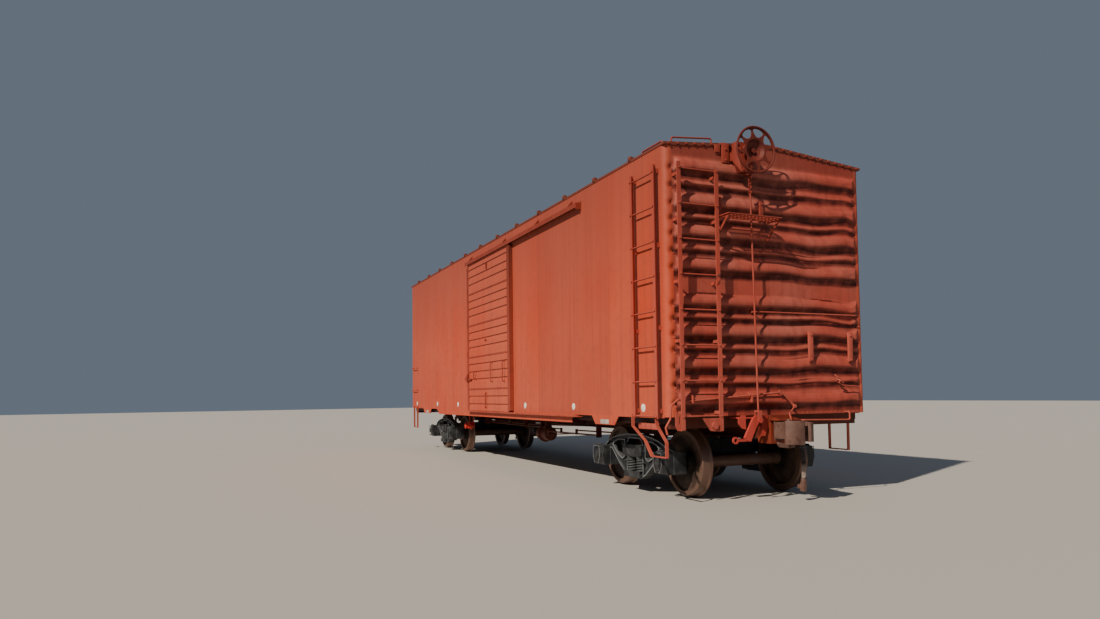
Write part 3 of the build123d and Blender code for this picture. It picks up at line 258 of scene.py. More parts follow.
def dress(material, *names):
    """Give CAD nodes a material."""
    for name in names:
        mesh = nodes[name].data
        mesh.materials.clear()
        mesh.materials.append(material)


def freight_car_paint(name, fresh, faded, grimy, chips=0.3, drawn_in=0.0, sheet=0.0, inner=None):
    """Weathered alkyd paint on steel.

    chips is the greatest share of bare rust in a chip, drawn_in is how deep the sheet is drawn in
    between its posts, and sheet is the width of the sheets that it was welded up from. inner gives a
    place and a colour: nearer to the middle of the car than that place, the surface has that colour.
    """
    material, tree, place = start_material(name)
    length, breadth, height = add(tree, "ShaderNodeSeparateXYZ", None, {"Vector": place}).outputs
    # sun has faded it in patches 2 m across and in upright bands 0.7 m wide
    patches = add(tree, "ShaderNodeTexNoise", "Fac", {"Vector": place, "Scale": 0.5, "Detail": 3.0})
    upright = add(tree, "ShaderNodeMapping", "Vector", {"Vector": place, "Scale": (1.5, 1.5, 0.08)})
    bands = add(tree, "ShaderNodeTexNoise", "Fac", {"Vector": upright, "Scale": 1.0, "Detail": 2.0})
    # rain has drawn thin streaks, 60 to 100 mm apart
    running = add(tree, "ShaderNodeMapping", "Vector", {"Vector": place, "Scale": (12.0, 12.0, 0.4)})
    streaks = add(tree, "ShaderNodeTexNoise", "Fac", {"Vector": running, "Scale": 1.0, "Detail": 4.0})
    # grime sits in blots of 120 mm; chips down to rust are drawn at 18 mm so that they show
    grime = add(tree, "ShaderNodeTexNoise", "Fac", {"Vector": place, "Scale": 8.0, "Detail": 8.0})
    specks = add(tree, "ShaderNodeTexNoise", "Fac", {"Vector": place, "Scale": 55.0, "Detail": 3.0})
    colour = layered(tree, fresh, (patches, 0.38, 0.62, 1.0, faded), (bands, 0.44, 0.58, 0.6, faded),
                     (streaks, 0.50, 0.80, 0.6, grimy), (grime, 0.50, 0.80, 0.35, grimy),
                     (specks, 0.68, 0.74, chips, "#43200f"))
    if sheet:
        # each sheet took the coat a little differently, and a darker weld runs between two
        counted = add(tree, "ShaderNodeMath", 0, {0: length, 1: sheet}, operation="DIVIDE")
        number = add(tree, "ShaderNodeMath", 0, {0: counted}, operation="FLOOR")
        tone = add(tree, "ShaderNodeTexWhiteNoise", "Value", {"W": number}, noise_dimensions="1D")
        edge = add(tree, "ShaderNodeMath", 0, {0: counted}, operation="FRACT")
        colour = layered(tree, colour, (tone, 0.0, 1.0, 0.35, grimy), (edge, 0.014, 0.004, 0.35, "#6a2a1c"))
    if inner:
        inner_place, inner_colour = inner
        reach = add(tree, "ShaderNodeMath", 0, {0: breadth}, operation="ABSOLUTE")
        inside = add(tree, "ShaderNodeMath", 0, {0: reach, 1: inner_place}, operation="LESS_THAN")
        worn = layered(tree, inner_colour, (grime, 0.0, 1.0, 1.0, "#2a110b"))
        colour = layered(tree, colour, (inside, 0.0, 1.0, 1.0, worn))
    # soot lies thickest under the eave, and faces that look down are darkened as painted shade
    normal = add(tree, "ShaderNodeNewGeometry", "Normal")
    facing = add(tree, "ShaderNodeSeparateXYZ", "Z", {"Vector": normal})
    colour = layered(tree, colour, (height, 2.4, 4.3, 0.70, grimy), (facing, -0.25, -0.75, 0.80, "#481810"))
    rough = add(tree, "ShaderNodeMapRange", "Result",
                {"Value": grime, "From Min": 0.2, "From Max": 0.9, "To Min": 0.50, "To Max": 0.75})
    # orange peel of the sprayed coat, drawn at 8 mm so that it shows
    peel = add(tree, "ShaderNodeTexNoise", "Fac", {"Vector": place, "Scale": 120.0, "Detail": 2.0})
    bump = add(tree, "ShaderNodeBump", "Normal", {"Height": peel, "Strength": 0.12, "Distance": 0.002})
    if drawn_in:
        # posts stand 610 mm apart
        posts = add(tree, "ShaderNodeMapping", "Vector", {"Vector": place, "Scale": (1.64, 1.0, 0.16)})
        waves = add(tree, "ShaderNodeTexNoise", "Fac", {"Vector": posts, "Scale": 1.0, "Detail": 1.0})
        bump = add(tree, "ShaderNodeBump", "Normal", {"Height": waves, "Distance": drawn_in, "Normal": bump})
    # chalked paint has lost most of its gloss
    shader = add(tree, "ShaderNodeBsdfPrincipled", "BSDF",
                 {"Base Color": colour, "Roughness": rough, "Specular IOR Level": 0.3, "Normal": bump})
    add(tree, "ShaderNodeOutputMaterial", inputs={"Surface": shader})
    return material


# chalky orange red outside, and the brown of worn boards inside the walls
side_paint = freight_car_paint("freight car red on side sheets", "#b94529", "#bc543c", "#8a4234", 0.2,
                               drawn_in=0.03, sheet=1.22, inner=(1.412, "#8c7150"))
dress(side_paint, "side_wall_l", "side_wall_r")
# the same red on the posts, with a little more of it chipped
post_paint = freight_car_paint("freight car red on corner posts", "#b94529", "#bc543c", "#8a4234", 0.3)
# the sills are stone chipped, and nearly black behind their face, as painted shade in the recess
sill_paint = freight_car_paint("freight car red on side sills", "#b94529", "#bb5239", "#964334", 0.4,
                               inner=(1.470, "#32160f"))
dress(sill_paint, "side_sills")
# boots and gloves have worn the ladders and grips to a deeper red
fitting_paint = freight_car_paint("freight car red on fittings", "#ac4536", "#b05445", "#7d3226", 0.5)
dress(fitting_paint, "ladders", "sill_steps", "handholds", "uncoupling_levers")


# Rivets and bolts of the body
# Button head rivets of about 16 mm hold the corner posts, the gable and the foot of
# each end. They are driven in rows at an even pitch and painted over with the sheets.

def button_head(radius):
    """Low domed head, eight sided, standing up from the origin."""
    head = primitive("uv_sphere", segments=8, ring_count=6, radius=radius)
    bpy.ops.object.mode_set(mode="EDIT")
    bpy.ops.mesh.select_all(action="SELECT")
    bpy.ops.mesh.bisect(plane_co=(0, 0, radius * 0.1), plane_no=(0, 0, 1), clear_inner=True)
    bpy.ops.mesh.select_all(action="SELECT")
    bpy.ops.transform.translate(value=(0, 0, -radius * 0.1))
    bpy.ops.transform.resize(value=(1, 1, 0.6), center_override=(0, 0, 0))
    bpy.ops.object.mode_set(mode="OBJECT")
    bpy.ops.object.shade_smooth()
    return head


def hex_head(across_flats):
    """Six sided bolt head with its corners broken."""
    radius = across_flats / 1.732
    head = primitive("cylinder", vertices=6, radius=radius, depth=across_flats * 0.5,
                     location=(0, 0, across_flats * 0.25))
    return rounded(head, across_flats * 0.06, 1)


def placed_row(stamp, facing, start, step=(0, 0, 0), count=1):
    """One row of copies on a face: the first at start, each next one a step on."""
    row = stamp.copy()
    row.data = stamp.data.copy()
    bpy.context.scene.collection.objects.link(row)
    row.data.transform(Vector(facing).to_track_quat("Z", "Y").to_matrix().to_4x4())
    row.data.transform(Matrix.Translation(start))
    if count > 1:
        alone(row)
        repeat = row.modifiers.new("row", "ARRAY")
        repeat.use_relative_offset = False
        repeat.use_constant_offset = True
        repeat.constant_offset_displace = step
        repeat.count = count
        bpy.ops.object.modifier_apply(modifier="row")
    return row


def other_way_round(piece):
    """The same piece at the opposite corner of the car."""
    copy = piece.copy()
    copy.data = piece.data.copy()
    copy.data.transform(half_turn)
    bpy.context.scene.collection.objects.link(copy)
    return copy


def at_both_corners(name, pieces, material):
    """Pieces and the same ones at the opposite corner, joined into one that rides on the car body."""
    return finished(name, pieces + [other_way_round(piece) for piece in pieces], material, "carbody")


body_side = 1.498
end_face = 6.290
rivet = button_head(0.0085)

# rows on the near side and the brake end, columns: facing, start, step, count
rivet_rows = [
    ((0, -1, 0), (6.202, -body_side, 1.075), (0, 0, 0.0445), 71),
    ((0, -1, 0), (-6.202, -body_side, 1.075), (0, 0, 0.0445), 71),
    ((1, 0, 0), (end_face, 0.30, 1.066), (0, 0.0755, 0), 15),
    ((1, 0, 0), (end_face, -1.36, 1.062), (0, 0.0755, 0), 14),
    ((1, 0, 0), (end_face, -1.36, 4.207), (0, 0.068, 0.0058), 20),
    ((1, 0, 0), (end_face, 1.36, 4.207), (0, -0.068, 0.0058), 20),
    ((0, -1, 0), (-6.10, -body_side, 4.205), (0.1018, 0, 0), 120),
]
rows = [placed_row(rivet, *row) for row in rivet_rows]
bpy.data.objects.remove(rivet)
at_both_corners("body_rivets", rows, post_paint)

# one bolt below each end of every rib, then a row under each slope of the gable
bolt = hex_head(0.030)
rib_middles = [1.240, 1.452, 1.665, 1.858, 2.045, 2.223, 2.402,
               2.825, 3.022, 3.220, 3.400, 3.580, 3.790, 4.000]
rib_bolt_drop = 0.073
rows = [placed_row(bolt, (1, 0, 0), (end_face - 0.018, y, z - rib_bolt_drop))
        for y in (-1.394, 1.394) for z in rib_middles]
for side in (-1, 1):
    rows.append(placed_row(bolt, (1, 0, 0), (end_face + 0.012, side * 1.44, 4.241),
                           (0, -side * 0.120, 0.0109), 12))
bpy.data.objects.remove(bolt)
at_both_corners("end_bolts", rows, fitting_paint)


# Reflectors
# White reflective discs riveted low along both sides, each a thin pressed cup with
# a rolled rim.

# glass beads in clear lacquer over white, smooth, with dust in blots of 70 mm; the beads are drawn
# at 4 mm so that they show
reflector_paint, tree, place = start_material("white reflective sheeting")
dirt = add(tree, "ShaderNodeTexNoise", "Fac", {"Vector": place, "Scale": 14.0, "Detail": 5.0})
colour = layered(tree, "#f1ece4", (dirt, 0.45, 0.85, 1.0, "#b9a797"))
beads = add(tree, "ShaderNodeTexVoronoi", "Distance", {"Vector": place, "Scale": 260.0})
bump = add(tree, "ShaderNodeBump", "Normal", {"Height": beads, "Strength": 0.3, "Distance": 0.001})
shader = add(tree, "ShaderNodeBsdfPrincipled", "BSDF",
             {"Base Color": colour, "Roughness": 0.35, "Normal": bump})
add(tree, "ShaderNodeOutputMaterial", inputs={"Surface": shader})

reflector_height = 1.150
reflector_radius = 0.050
reflector_thickness = 0.005
discs = []
for x in (5.720, 3.735, 1.830, -2.073, -3.742, -5.720):
    discs.append(round_piece((x, -body_side, reflector_height),
                             (x, -body_side - reflector_thickness, reflector_height),
                             reflector_radius, 24, 0.0015))
at_both_corners("side_reflectors", discs, reflector_paint)


# Corner posts
# Pressed steel corner posts, rounded outside, with a hollow beside each rib of the
# end where the press drew the sheet in.

post_depth = 0.110
post_breadth = 0.100
post_height = 3.178
post_middle = 2.636
corner_radius = 0.085

# the place of each hollow beside its rib, then its breadth, height and depth
hollow_y = 1.404
hollow_drop = 0.040
hollow_breadth = 0.042
hollow_height = 0.036
hollow_full = 0.030
# a hollow ends where the distance from it, counted in its own sizes and squared, passes this
hollow_reach = 6
# the metal that is drawn in also moves sideways by this share
sideways_share = 0.35
# twelve cuts from this far below each rib give its hollow a curve
cut_drop = 0.135
cut_pitch = 0.018
cut_count = 12


def hollow_depth(y, z):
    """How far the plate is drawn in at a place beside the ribs."""
    depth = 0
    for middle in rib_middles:
        far = ((z - middle + hollow_drop) / hollow_height) ** 2 + ((abs(y) - hollow_y) / hollow_breadth) ** 2
        if far < hollow_reach:
            depth = max(depth, hollow_full * exp(-far))
    return depth


def cut_across(place, normal):
    """Cut everything in the piece that is in edit mode by one plane."""
    bpy.ops.mesh.select_all(action="SELECT")
    bpy.ops.mesh.bisect(plane_co=place, plane_no=normal)


posts = []
for side in (-1, 1):
    post = primitive("cube", size=1, scale=(post_depth, post_breadth, post_height),
                     location=(end_face - post_depth / 2, side * (body_side - post_breadth / 2), post_middle))
    bpy.ops.object.mode_set(mode="EDIT")
    bpy.ops.mesh.select_all(action="DESELECT")
    bpy.ops.object.mode_set(mode="OBJECT")
    for edge in post.data.edges:
        ends = [post.data.vertices[i].co for i in edge.vertices]
        if all(abs(v.y) > body_side - 0.01 and v.x > end_face - 0.01 for v in ends):
            edge.select = True
    bpy.ops.object.mode_set(mode="EDIT")
    bpy.ops.mesh.select_mode(type="EDGE")
    bpy.ops.mesh.bevel(offset=corner_radius, segments=9)
    for y in (1.402, 1.407):
        cut_across((0, side * y, 0), (0, 1, 0))
    for middle in rib_middles:
        for i in range(cut_count):
            cut_across((0, 0, middle - cut_drop + cut_pitch * i), (0, 0, 1))
    bpy.ops.object.mode_set(mode="OBJECT")
    for vertex in post.data.vertices:
        if vertex.co.x > end_face - 0.095:
            depth = hollow_depth(vertex.co.y, vertex.co.z)
            vertex.co.x -= depth
            vertex.co.y -= side * depth * sideways_share
    bpy.ops.object.shade_smooth_by_angle(angle=radians(50))
    posts.append(post)
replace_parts(at_both_corners("dented_corner_posts", posts, post_paint), "corner_posts")


# Pressed ends
# Ends pressed from heavy plate, full width ribs with narrow ones between, riveted in.
# Loads have pushed the brake end out of true, so its ribs wander towards the far side.

# thick coats of sprayed paint in faded patches 1 m across, with streaks 100 mm apart, blots of 140 mm,
# chips drawn at 20 mm so that they show, and painted shade in a dark band under each rib
end_paint, tree, place = start_material("freight car red on pressed ends")
along, _, height = add(tree, "ShaderNodeSeparateXYZ", None, {"Vector": place}).outputs
patches = add(tree, "ShaderNodeTexNoise", "Fac", {"Vector": place, "Scale": 0.9, "Detail": 4.0})
grime = add(tree, "ShaderNodeTexNoise", "Fac", {"Vector": place, "Scale": 7.0, "Detail": 9.0})
running = add(tree, "ShaderNodeMapping", "Vector", {"Vector": place, "Scale": (10.0, 10.0, 0.8)})
streaks = add(tree, "ShaderNodeTexNoise", "Fac", {"Vector": running, "Scale": 1.0, "Detail": 4.0})
specks = add(tree, "ShaderNodeTexNoise", "Fac", {"Vector": place, "Scale": 50.0, "Detail": 3.0})
# painted shade: the band of shadow under each rib is painted dark, read from a mark on the plate's points
painted_shade = add(tree, "ShaderNodeAttribute", "Fac", attribute_name="painted_shade")
colour = layered(tree, "#a5483a", (patches, 0.38, 0.62, 1.0, "#a65a4d"), (streaks, 0.48, 0.80, 0.55, "#7f352a"),
                 (grime, 0.48, 0.80, 0.55, "#762f26"), (specks, 0.66, 0.72, 0.4, "#43200f"),
                 (height, 4.09, 4.14, 0.6, "#6e2c22"))
ragged = add(tree, "ShaderNodeMapRange", "Result",
             {"Value": grime, "From Min": 0.30, "From Max": 0.60, "To Min": 0.60, "To Max": 0.95})
ragged_painted_shade = add(tree, "ShaderNodeMath", 0, {0: painted_shade, 1: ragged}, operation="MULTIPLY", use_clamp=True)
# the inside is lined with boards
reach = add(tree, "ShaderNodeMath", 0, {0: along}, operation="ABSOLUTE")
inside = add(tree, "ShaderNodeMath", 0, {0: reach, 1: 6.182}, operation="LESS_THAN")
colour = layered(tree, colour, (ragged_painted_shade, 0.0, 1.0, 1.0, "#3f0805"), (inside, 0.0, 1.0, 1.0, "#7a6246"))
rough = add(tree, "ShaderNodeMapRange", "Result",
            {"Value": grime, "From Min": 0.2, "From Max": 0.9, "To Min": 0.48, "To Max": 0.75})
# small knocks in the plate, drawn at 30 mm
knocks = add(tree, "ShaderNodeTexNoise", "Fac", {"Vector": place, "Scale": 32.0, "Detail": 3.0})
bump = add(tree, "ShaderNodeBump", "Normal", {"Height": knocks, "Strength": 0.25, "Distance": 0.004})
shader = add(tree, "ShaderNodeBsdfPrincipled", "BSDF",
             {"Base Color": colour, "Roughness": rough, "Specular IOR Level": 0.3, "Normal": bump})
add(tree, "ShaderNodeOutputMaterial", inputs={"Surface": shader})

# which ribs are the narrow ones, from the lowest up
rib_narrow = [False, True, False, True, False, True, False, False, True, False, True, False, True, False]
# how far below a rib's middle its painted shade starts and stops, and over what height it fades
wide_painted_shade = (0.060, 0.135)
narrow_painted_shade = (0.030, 0.070)
painted_shade_fade = 0.028

plate_half = 1.38
plate_foot = 1.10
plate_top = 4.10
facet_breadth = 0.0575
facet_height = 0.026
cuts_across = 49
cuts_up = 118
# past rib_end, towards the ladder side corner, the ribs run out over the width run_out
rib_end = 1.330
run_out = 0.036
# the far corner's hollows have this share of the depth of the near ones
far_hollow_share = 0.4
# the damage lifts and pushes in the ribs this far, and fades out along the plate's edges
wave_lift = 0.020
wave_push = 0.014
rim_width = 0.12


def merged_copy(node):
    """Copy of a CAD node's mesh with its loose triangles merged."""
    copy = bpy.data.objects.new("merged_" + node, nodes[node].data.copy())
    bpy.context.scene.collection.objects.link(copy)
    alone(copy)
    bpy.ops.object.mode_set(mode="EDIT")
    bpy.ops.mesh.select_all(action="SELECT")
    bpy.ops.mesh.remove_doubles(threshold=0.0001)
    bpy.ops.object.mode_set(mode="OBJECT")
    return copy


def pressed_end(node, sign, bulge):
    """End plate cut into small facets, its ribs pushed out of true by bulge, painted shade marked under each
    rib.
    """
    skin = merged_copy(node)
    bpy.ops.object.mode_set(mode="EDIT")
    cuts = [-plate_half + facet_breadth * i for i in range(cuts_across)]
    cuts += [side * y for side in (-1, 1) for y in (1.337, 1.352, 1.366, 1.390)]
    for y in cuts:
        cut_across((0, y, 0), (0, 1, 0))
    for i in range(cuts_up):
        cut_across((0, 0, plate_foot + facet_height * i), (0, 0, 1))
    bpy.ops.object.mode_set(mode="OBJECT")
    # every point is marked with its share of painted shade, a dark band under each rib
    marks = skin.data.attributes.new("painted_shade", "FLOAT", "POINT")
    for vertex in skin.data.vertices:
        place = vertex.co
        out = sign * place.x - end_face
        if out < -0.002:
            continue
        across, height = sign * place.y, place.z
        painted_shade = 0
        for middle, narrow in zip(rib_middles, rib_narrow):
            low, high = narrow_painted_shade if narrow else wide_painted_shade
            below = middle - height
            painted_shade = max(painted_shade, 1 - max(low - below, below - high, 0) / painted_shade_fade)
        marks.data[vertex.index].value = painted_shade
        if out > 0.001:
            place.x -= sign * out * min(max((-across - rib_end) / run_out, 0), 1)
        place.x -= sign * hollow_depth(across, height) * (1 if across < 0 else far_hollow_share)
        # the damage grows towards the far side, as two slanting waves that cross
        across_share = min(max((across + 0.35) / 0.9, 0), 1)
        edge_share = min((plate_half - abs(across)) / rim_width, (height - plate_foot) / rim_width,
                         (plate_top - height) / rim_width, 1)
        share = bulge * across_share * max(edge_share, 0)
        lift = sin(3.1 * across + 2.9 * height) + 0.5 * sin(6.7 * across - 2.3 * height + 1.1)
        place.z += wave_lift * share * lift
        if out > 0.01:
            place.x -= sign * wave_push * share * (1 + sin(4.3 * across + 4.1 * height))
    bpy.ops.object.shade_smooth_by_angle(angle=radians(24))
    return skin


for node, sign, bulge in (("end_wall_b", 1, 1.0), ("end_wall_a", -1, 0.25)):
    skin = pressed_end(node, sign, bulge)
    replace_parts(finished("pressed_" + node, [skin], end_paint, "carbody"), node)


# Placard posts
# Two short channel posts on each end that once held a card board, each on two feet
# over the ribs, and a bent hook beside them.

def bent_bar(points, radius):
    """Bar bent through points, made a mesh."""
    curve = bpy.data.curves.new("bent_bar", "CURVE")
    curve.dimensions = "3D"
    spline = curve.splines.new("POLY")
    spline.points.add(len(points) - 1)
    for point, place in zip(spline.points, points):
        point.co = (*place, 1)
    curve.bevel_depth = radius
    curve.bevel_resolution = 3
    curve.use_fill_caps = True
    bar = bpy.data.objects.new("bent_bar", curve)
    bpy.context.scene.collection.objects.link(bar)
    alone(bar)
    bpy.ops.object.convert(target="MESH")
    bpy.ops.object.shade_smooth_by_angle(angle=radians(35))
    return bpy.context.object


post_low = 1.702
post_high = 2.072
pieces = []
for y0, y1 in ((0.505, 0.573), (1.150, 1.218)):
    middle = (y0 + y1) / 2
    # the web of the channel, its two flanges, then its two feet with their nuts
    pieces.append(slab((6.366, y0, post_low), (6.376, y1, post_high)))
    for y in (y0, y1 - 0.006):
        pieces.append(slab((6.352, y, post_low), (6.368, y + 0.006, post_high), 0.001))
    for z in (1.725, 2.030):
        pieces.append(round_piece((end_face, middle, z), (6.372, middle, z), 0.011))
        pieces.append(round_piece((6.374, middle, z), (6.386, middle, z), 0.014, 8))
pieces.append(bent_bar([(6.345, 0.930, 1.535), (6.372, 0.955, 1.500), (6.380, 1.005, 1.475),
                        (6.382, 0.960, 1.430), (6.378, 1.020, 1.400), (6.376, 1.300, 1.381)], 0.009))
pieces.append(bent_bar([(6.345, 1.080, 1.385), (6.380, 1.030, 1.430), (6.380, 0.985, 1.462),
                        (6.345, 0.965, 1.480)], 0.011))
at_both_corners("placard_posts", pieces, fitting_paint)


# Side doors
# Corrugated steel doors of overlapping pressed panels in an edge frame, hung from the
# upper track. Red like the sides, greasy where the shoes run.

# newer than the sides, so a little brighter
door_paint = freight_car_paint("freight car red on doors", "#b84c33", "#bb5a42", "#964536", 0.4)
dress(door_paint, "door_l", "door_r")
# grease from hands and pins has browned the latch and the handles
latch_paint = freight_car_paint("freight car red on door hardware", "#8c3626", "#964332", "#4c1d13", 0.9)
dress(latch_paint, "door_l_hardware", "door_r_hardware")
# rolling shoes have left the tracks dull and chipped
track_paint = freight_car_paint("freight car red on door tracks", "#a23e2b", "#a74a37", "#5c2418", 0.8)
dress(track_paint, "door_tracks", "door_stops")


# Ladder bolts
# Each rung end is held by a hex bolt through the stile, so a row of heads runs up
# every stile. A twist of tie wire is left on one rung.

side_end = 6.180
ladder_inset = 0.278
stile_half = 0.261
side_stile_face = 1.5865
end_stile_face = 6.4325
lowest_rung = 1.056
rung_step = (0, 0, 0.410)
rung_count = 8
stile_bolt = hex_head(0.026)
rows = []
for x in (side_end - ladder_inset - stile_half, side_end - ladder_inset + stile_half):
    rows.append(placed_row(stile_bolt, (0, -1, 0), (x, -side_stile_face, lowest_rung), rung_step, rung_count))
for y in (-1.393, -0.871):
    rows.append(placed_row(stile_bolt, (1, 0, 0), (end_stile_face, y, lowest_rung), rung_step, rung_count))
bpy.data.objects.remove(stile_bolt)
at_both_corners("ladder_bolts", rows, fitting_paint)

wire = bent_bar([(6.448, -0.865, 2.712), (6.462, -0.905, 2.688), (6.470, -0.985, 2.636),
                 (6.468, -0.915, 2.670), (6.456, -0.850, 2.724)], 0.003)
finished("tie_wire", [wire], band_steel, "carbody")


# Roof
# Galvanised roof sheets with raised caps over their seams, painted once and now dull
# and worn to brown. Mounting plates are left at the brake end.

# thin brown red paint, much of it flaked
roof_paint = freight_car_paint("weathered roof paint", "#8a3b2a", "#8f4a3b", "#5a2c22", 0.8)
dress(roof_paint, "roof", "roof_seam_caps")

# twelve seam caps stand 1 m apart, and each is turned down over the eave and bolted
pieces = []
for i in range(12):
    x = i - 5.5
    pieces.append(slab((x - 0.034, -1.516, 4.238), (x + 0.034, -1.474, 4.300), 0.006))
    pieces.append(round_piece((x, -1.512, 4.262), (x, -1.526, 4.262), 0.012, 6))
at_both_corners("seam_cap_ends", pieces, roof_paint)

pieces = [
    slab((6.302, -0.800, 4.205), (6.314, -0.720, 4.300), 0.003),
    slab((6.302, -0.700, 4.085), (6.320, -0.600, 4.330), 0.003),
]
for z in (4.120, 4.250):
    pieces.append(round_piece((6.316, -0.650, z), (6.332, -0.650, z), 0.016, 6))
finished("brake_mounting_plates", pieces, fitting_paint, "carbody")


# Hand brake
# Cast wheel with a dished centre, pressed gear housing, hook chain and round rod down
# to a bell crank under the end. The crank was painted last and is the brightest red.

# brushed red over castings, darker with soot than the sheets
brake_paint = freight_car_paint("freight car red on hand brake", "#a03d2f", "#a84e40", "#662318", 0.7)
dress(brake_paint, "brake_rod", "brake_step")
# the wheel is a darker red than the other fittings, with many chips
wheel_paint = freight_car_paint("dark paint on brake wheel", "#8f382a", "#93453a", "#43160f", 1.0)
dress(wheel_paint, "brake_wheel")
# brushed on fresh, still a clear red
crank_paint = freight_car_paint("fresh red paint on bell crank", "#b4352a", "#b54439", "#6c2018", 1.0)
dress(crank_paint, "bell_crank")

# the case is 75 mm narrower at its foot
housing = merged_copy("brake_housing")
for vertex in housing.data.vertices:
    if vertex.co.z < 4.0 and vertex.co.y < -0.5:
        vertex.co.y += 0.075
pieces = [rounded(housing, 0.010, 3)]
# four cover bolts, the cap of the gear shaft and the socket for the chain
for y, z in ((-0.560, 4.290), (-0.356, 4.290), (-0.485, 3.985), (-0.356, 3.985)):
    pieces.append(round_piece((6.436, y, z), (6.452, y, z), 0.015, 6))
pieces.append(round_piece((6.436, -0.520, 4.225), (6.462, -0.520, 4.225), 0.026, 12))
pieces.append(round_piece((6.398, -0.400, 3.930), (6.398, -0.400, 3.966), 0.040, 20))
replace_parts(finished("bevelled_brake_housing", pieces, brake_paint, "carbody"), "brake_housing")

# flat bars bolted to a rib carry the step
pieces = []
for y in (-0.790, -0.175):
    pieces.append(slab((6.352, y - 0.030, 3.400), (6.368, y + 0.030, 3.650), 0.003))
    pieces.append(round_piece((6.300, y, 3.610), (6.378, y, 3.610), 0.012, 6))
finished("brake_step_hangers", pieces, brake_paint, "carbody")


# Underframe
# Rolled and pressed steel under the floor, sprayed red brown and dulled by road dust.
# The brake valve has been painted bright red.

# dark red brown, chipped by stones
underframe_paint = freight_car_paint("underframe paint under dust", "#4f2116", "#5c2c20", "#2b130e", 0.8)
dress(underframe_paint, "center_sill", "body_bolsters", "crossbearers", "end_sills", "brake_cylinder",
      "air_reservoir", "train_pipe", "draft_gears", "brake_rigging")
# brushed on by hand, the clearest red on the car
valve_paint = freight_car_paint("bright red paint on brake valve", "#bf2b22", "#c23f34", "#701a13", 0.5)
dress(valve_paint, "brake_valve")

# baked enamel on the blank bolster tab plates, half gloss, with dirt in blots of 55 mm
plate_paint, tree, place = start_material("dull white enamel plate")
dirt = add(tree, "ShaderNodeTexNoise", "Fac", {"Vector": place, "Scale": 18.0, "Detail": 6.0})
colour = layered(tree, "#b9b3aa", (dirt, 0.40, 0.75, 1.0, "#857468"))
shader = add(tree, "ShaderNodeBsdfPrincipled", "BSDF", {"Base Color": colour, "Roughness": 0.45})
add(tree, "ShaderNodeOutputMaterial", inputs={"Surface": shader})
pieces = []
for x0 in (4.580, -4.815):
    pieces.append(slab((x0, -body_side - 0.004, 0.930), (x0 + 0.235, -body_side, 0.988), 0.001))
at_both_corners("bolster_tab_plates", pieces, plate_paint)

# plates between the sill step legs, each on two spacers
pieces = [slab((5.560, -1.478, 0.895), (5.990, -1.468, 0.966))]
for x in (5.620, 5.930):
    pieces.append(slab((x - 0.020, -1.470, 0.955), (x + 0.020, -1.406, 0.969)))
at_both_corners("sill_step_plates", pieces, fitting_paint)

# a dab of bright red paint beside each bolster tab plate
pieces = [round_piece((x, -body_side - 0.003, 0.947), (x, -body_side, 0.947), 0.022, 16, 0.001)
          for x in (4.960, -4.435)]
at_both_corners("tab_paint_dabs", pieces, valve_paint)


# Floor
# Tongued hardwood planks laid across the car and nailed down, bare, dry and worn
# grey brown by loads.

# planed boards 168 mm wide with dark joints; their grain is drawn 33 mm wide so that it shows
floor_wood, tree, place = start_material("worn hardwood floor")
along = add(tree, "ShaderNodeMapping", "Vector", {"Vector": place, "Scale": (30.0, 2.0, 30.0)})
grain = add(tree, "ShaderNodeTexNoise", "Fac", {"Vector": along, "Scale": 1.0, "Detail": 6.0})
boards = add(tree, "ShaderNodeTexWave", "Fac", {"Vector": place, "Scale": 1.87}, bands_direction="X",
             wave_profile="SAW")
colour = layered(tree, "#8f7452", (grain, 0.0, 1.0, 1.0, "#5d4630"), (boards, 0.96, 0.99, 1.0, "#241a12"))
shader = add(tree, "ShaderNodeBsdfPrincipled", "BSDF", {"Base Color": colour, "Roughness": 0.8})
add(tree, "ShaderNodeOutputMaterial", inputs={"Surface": shader})
dress(floor_wood, "floor")
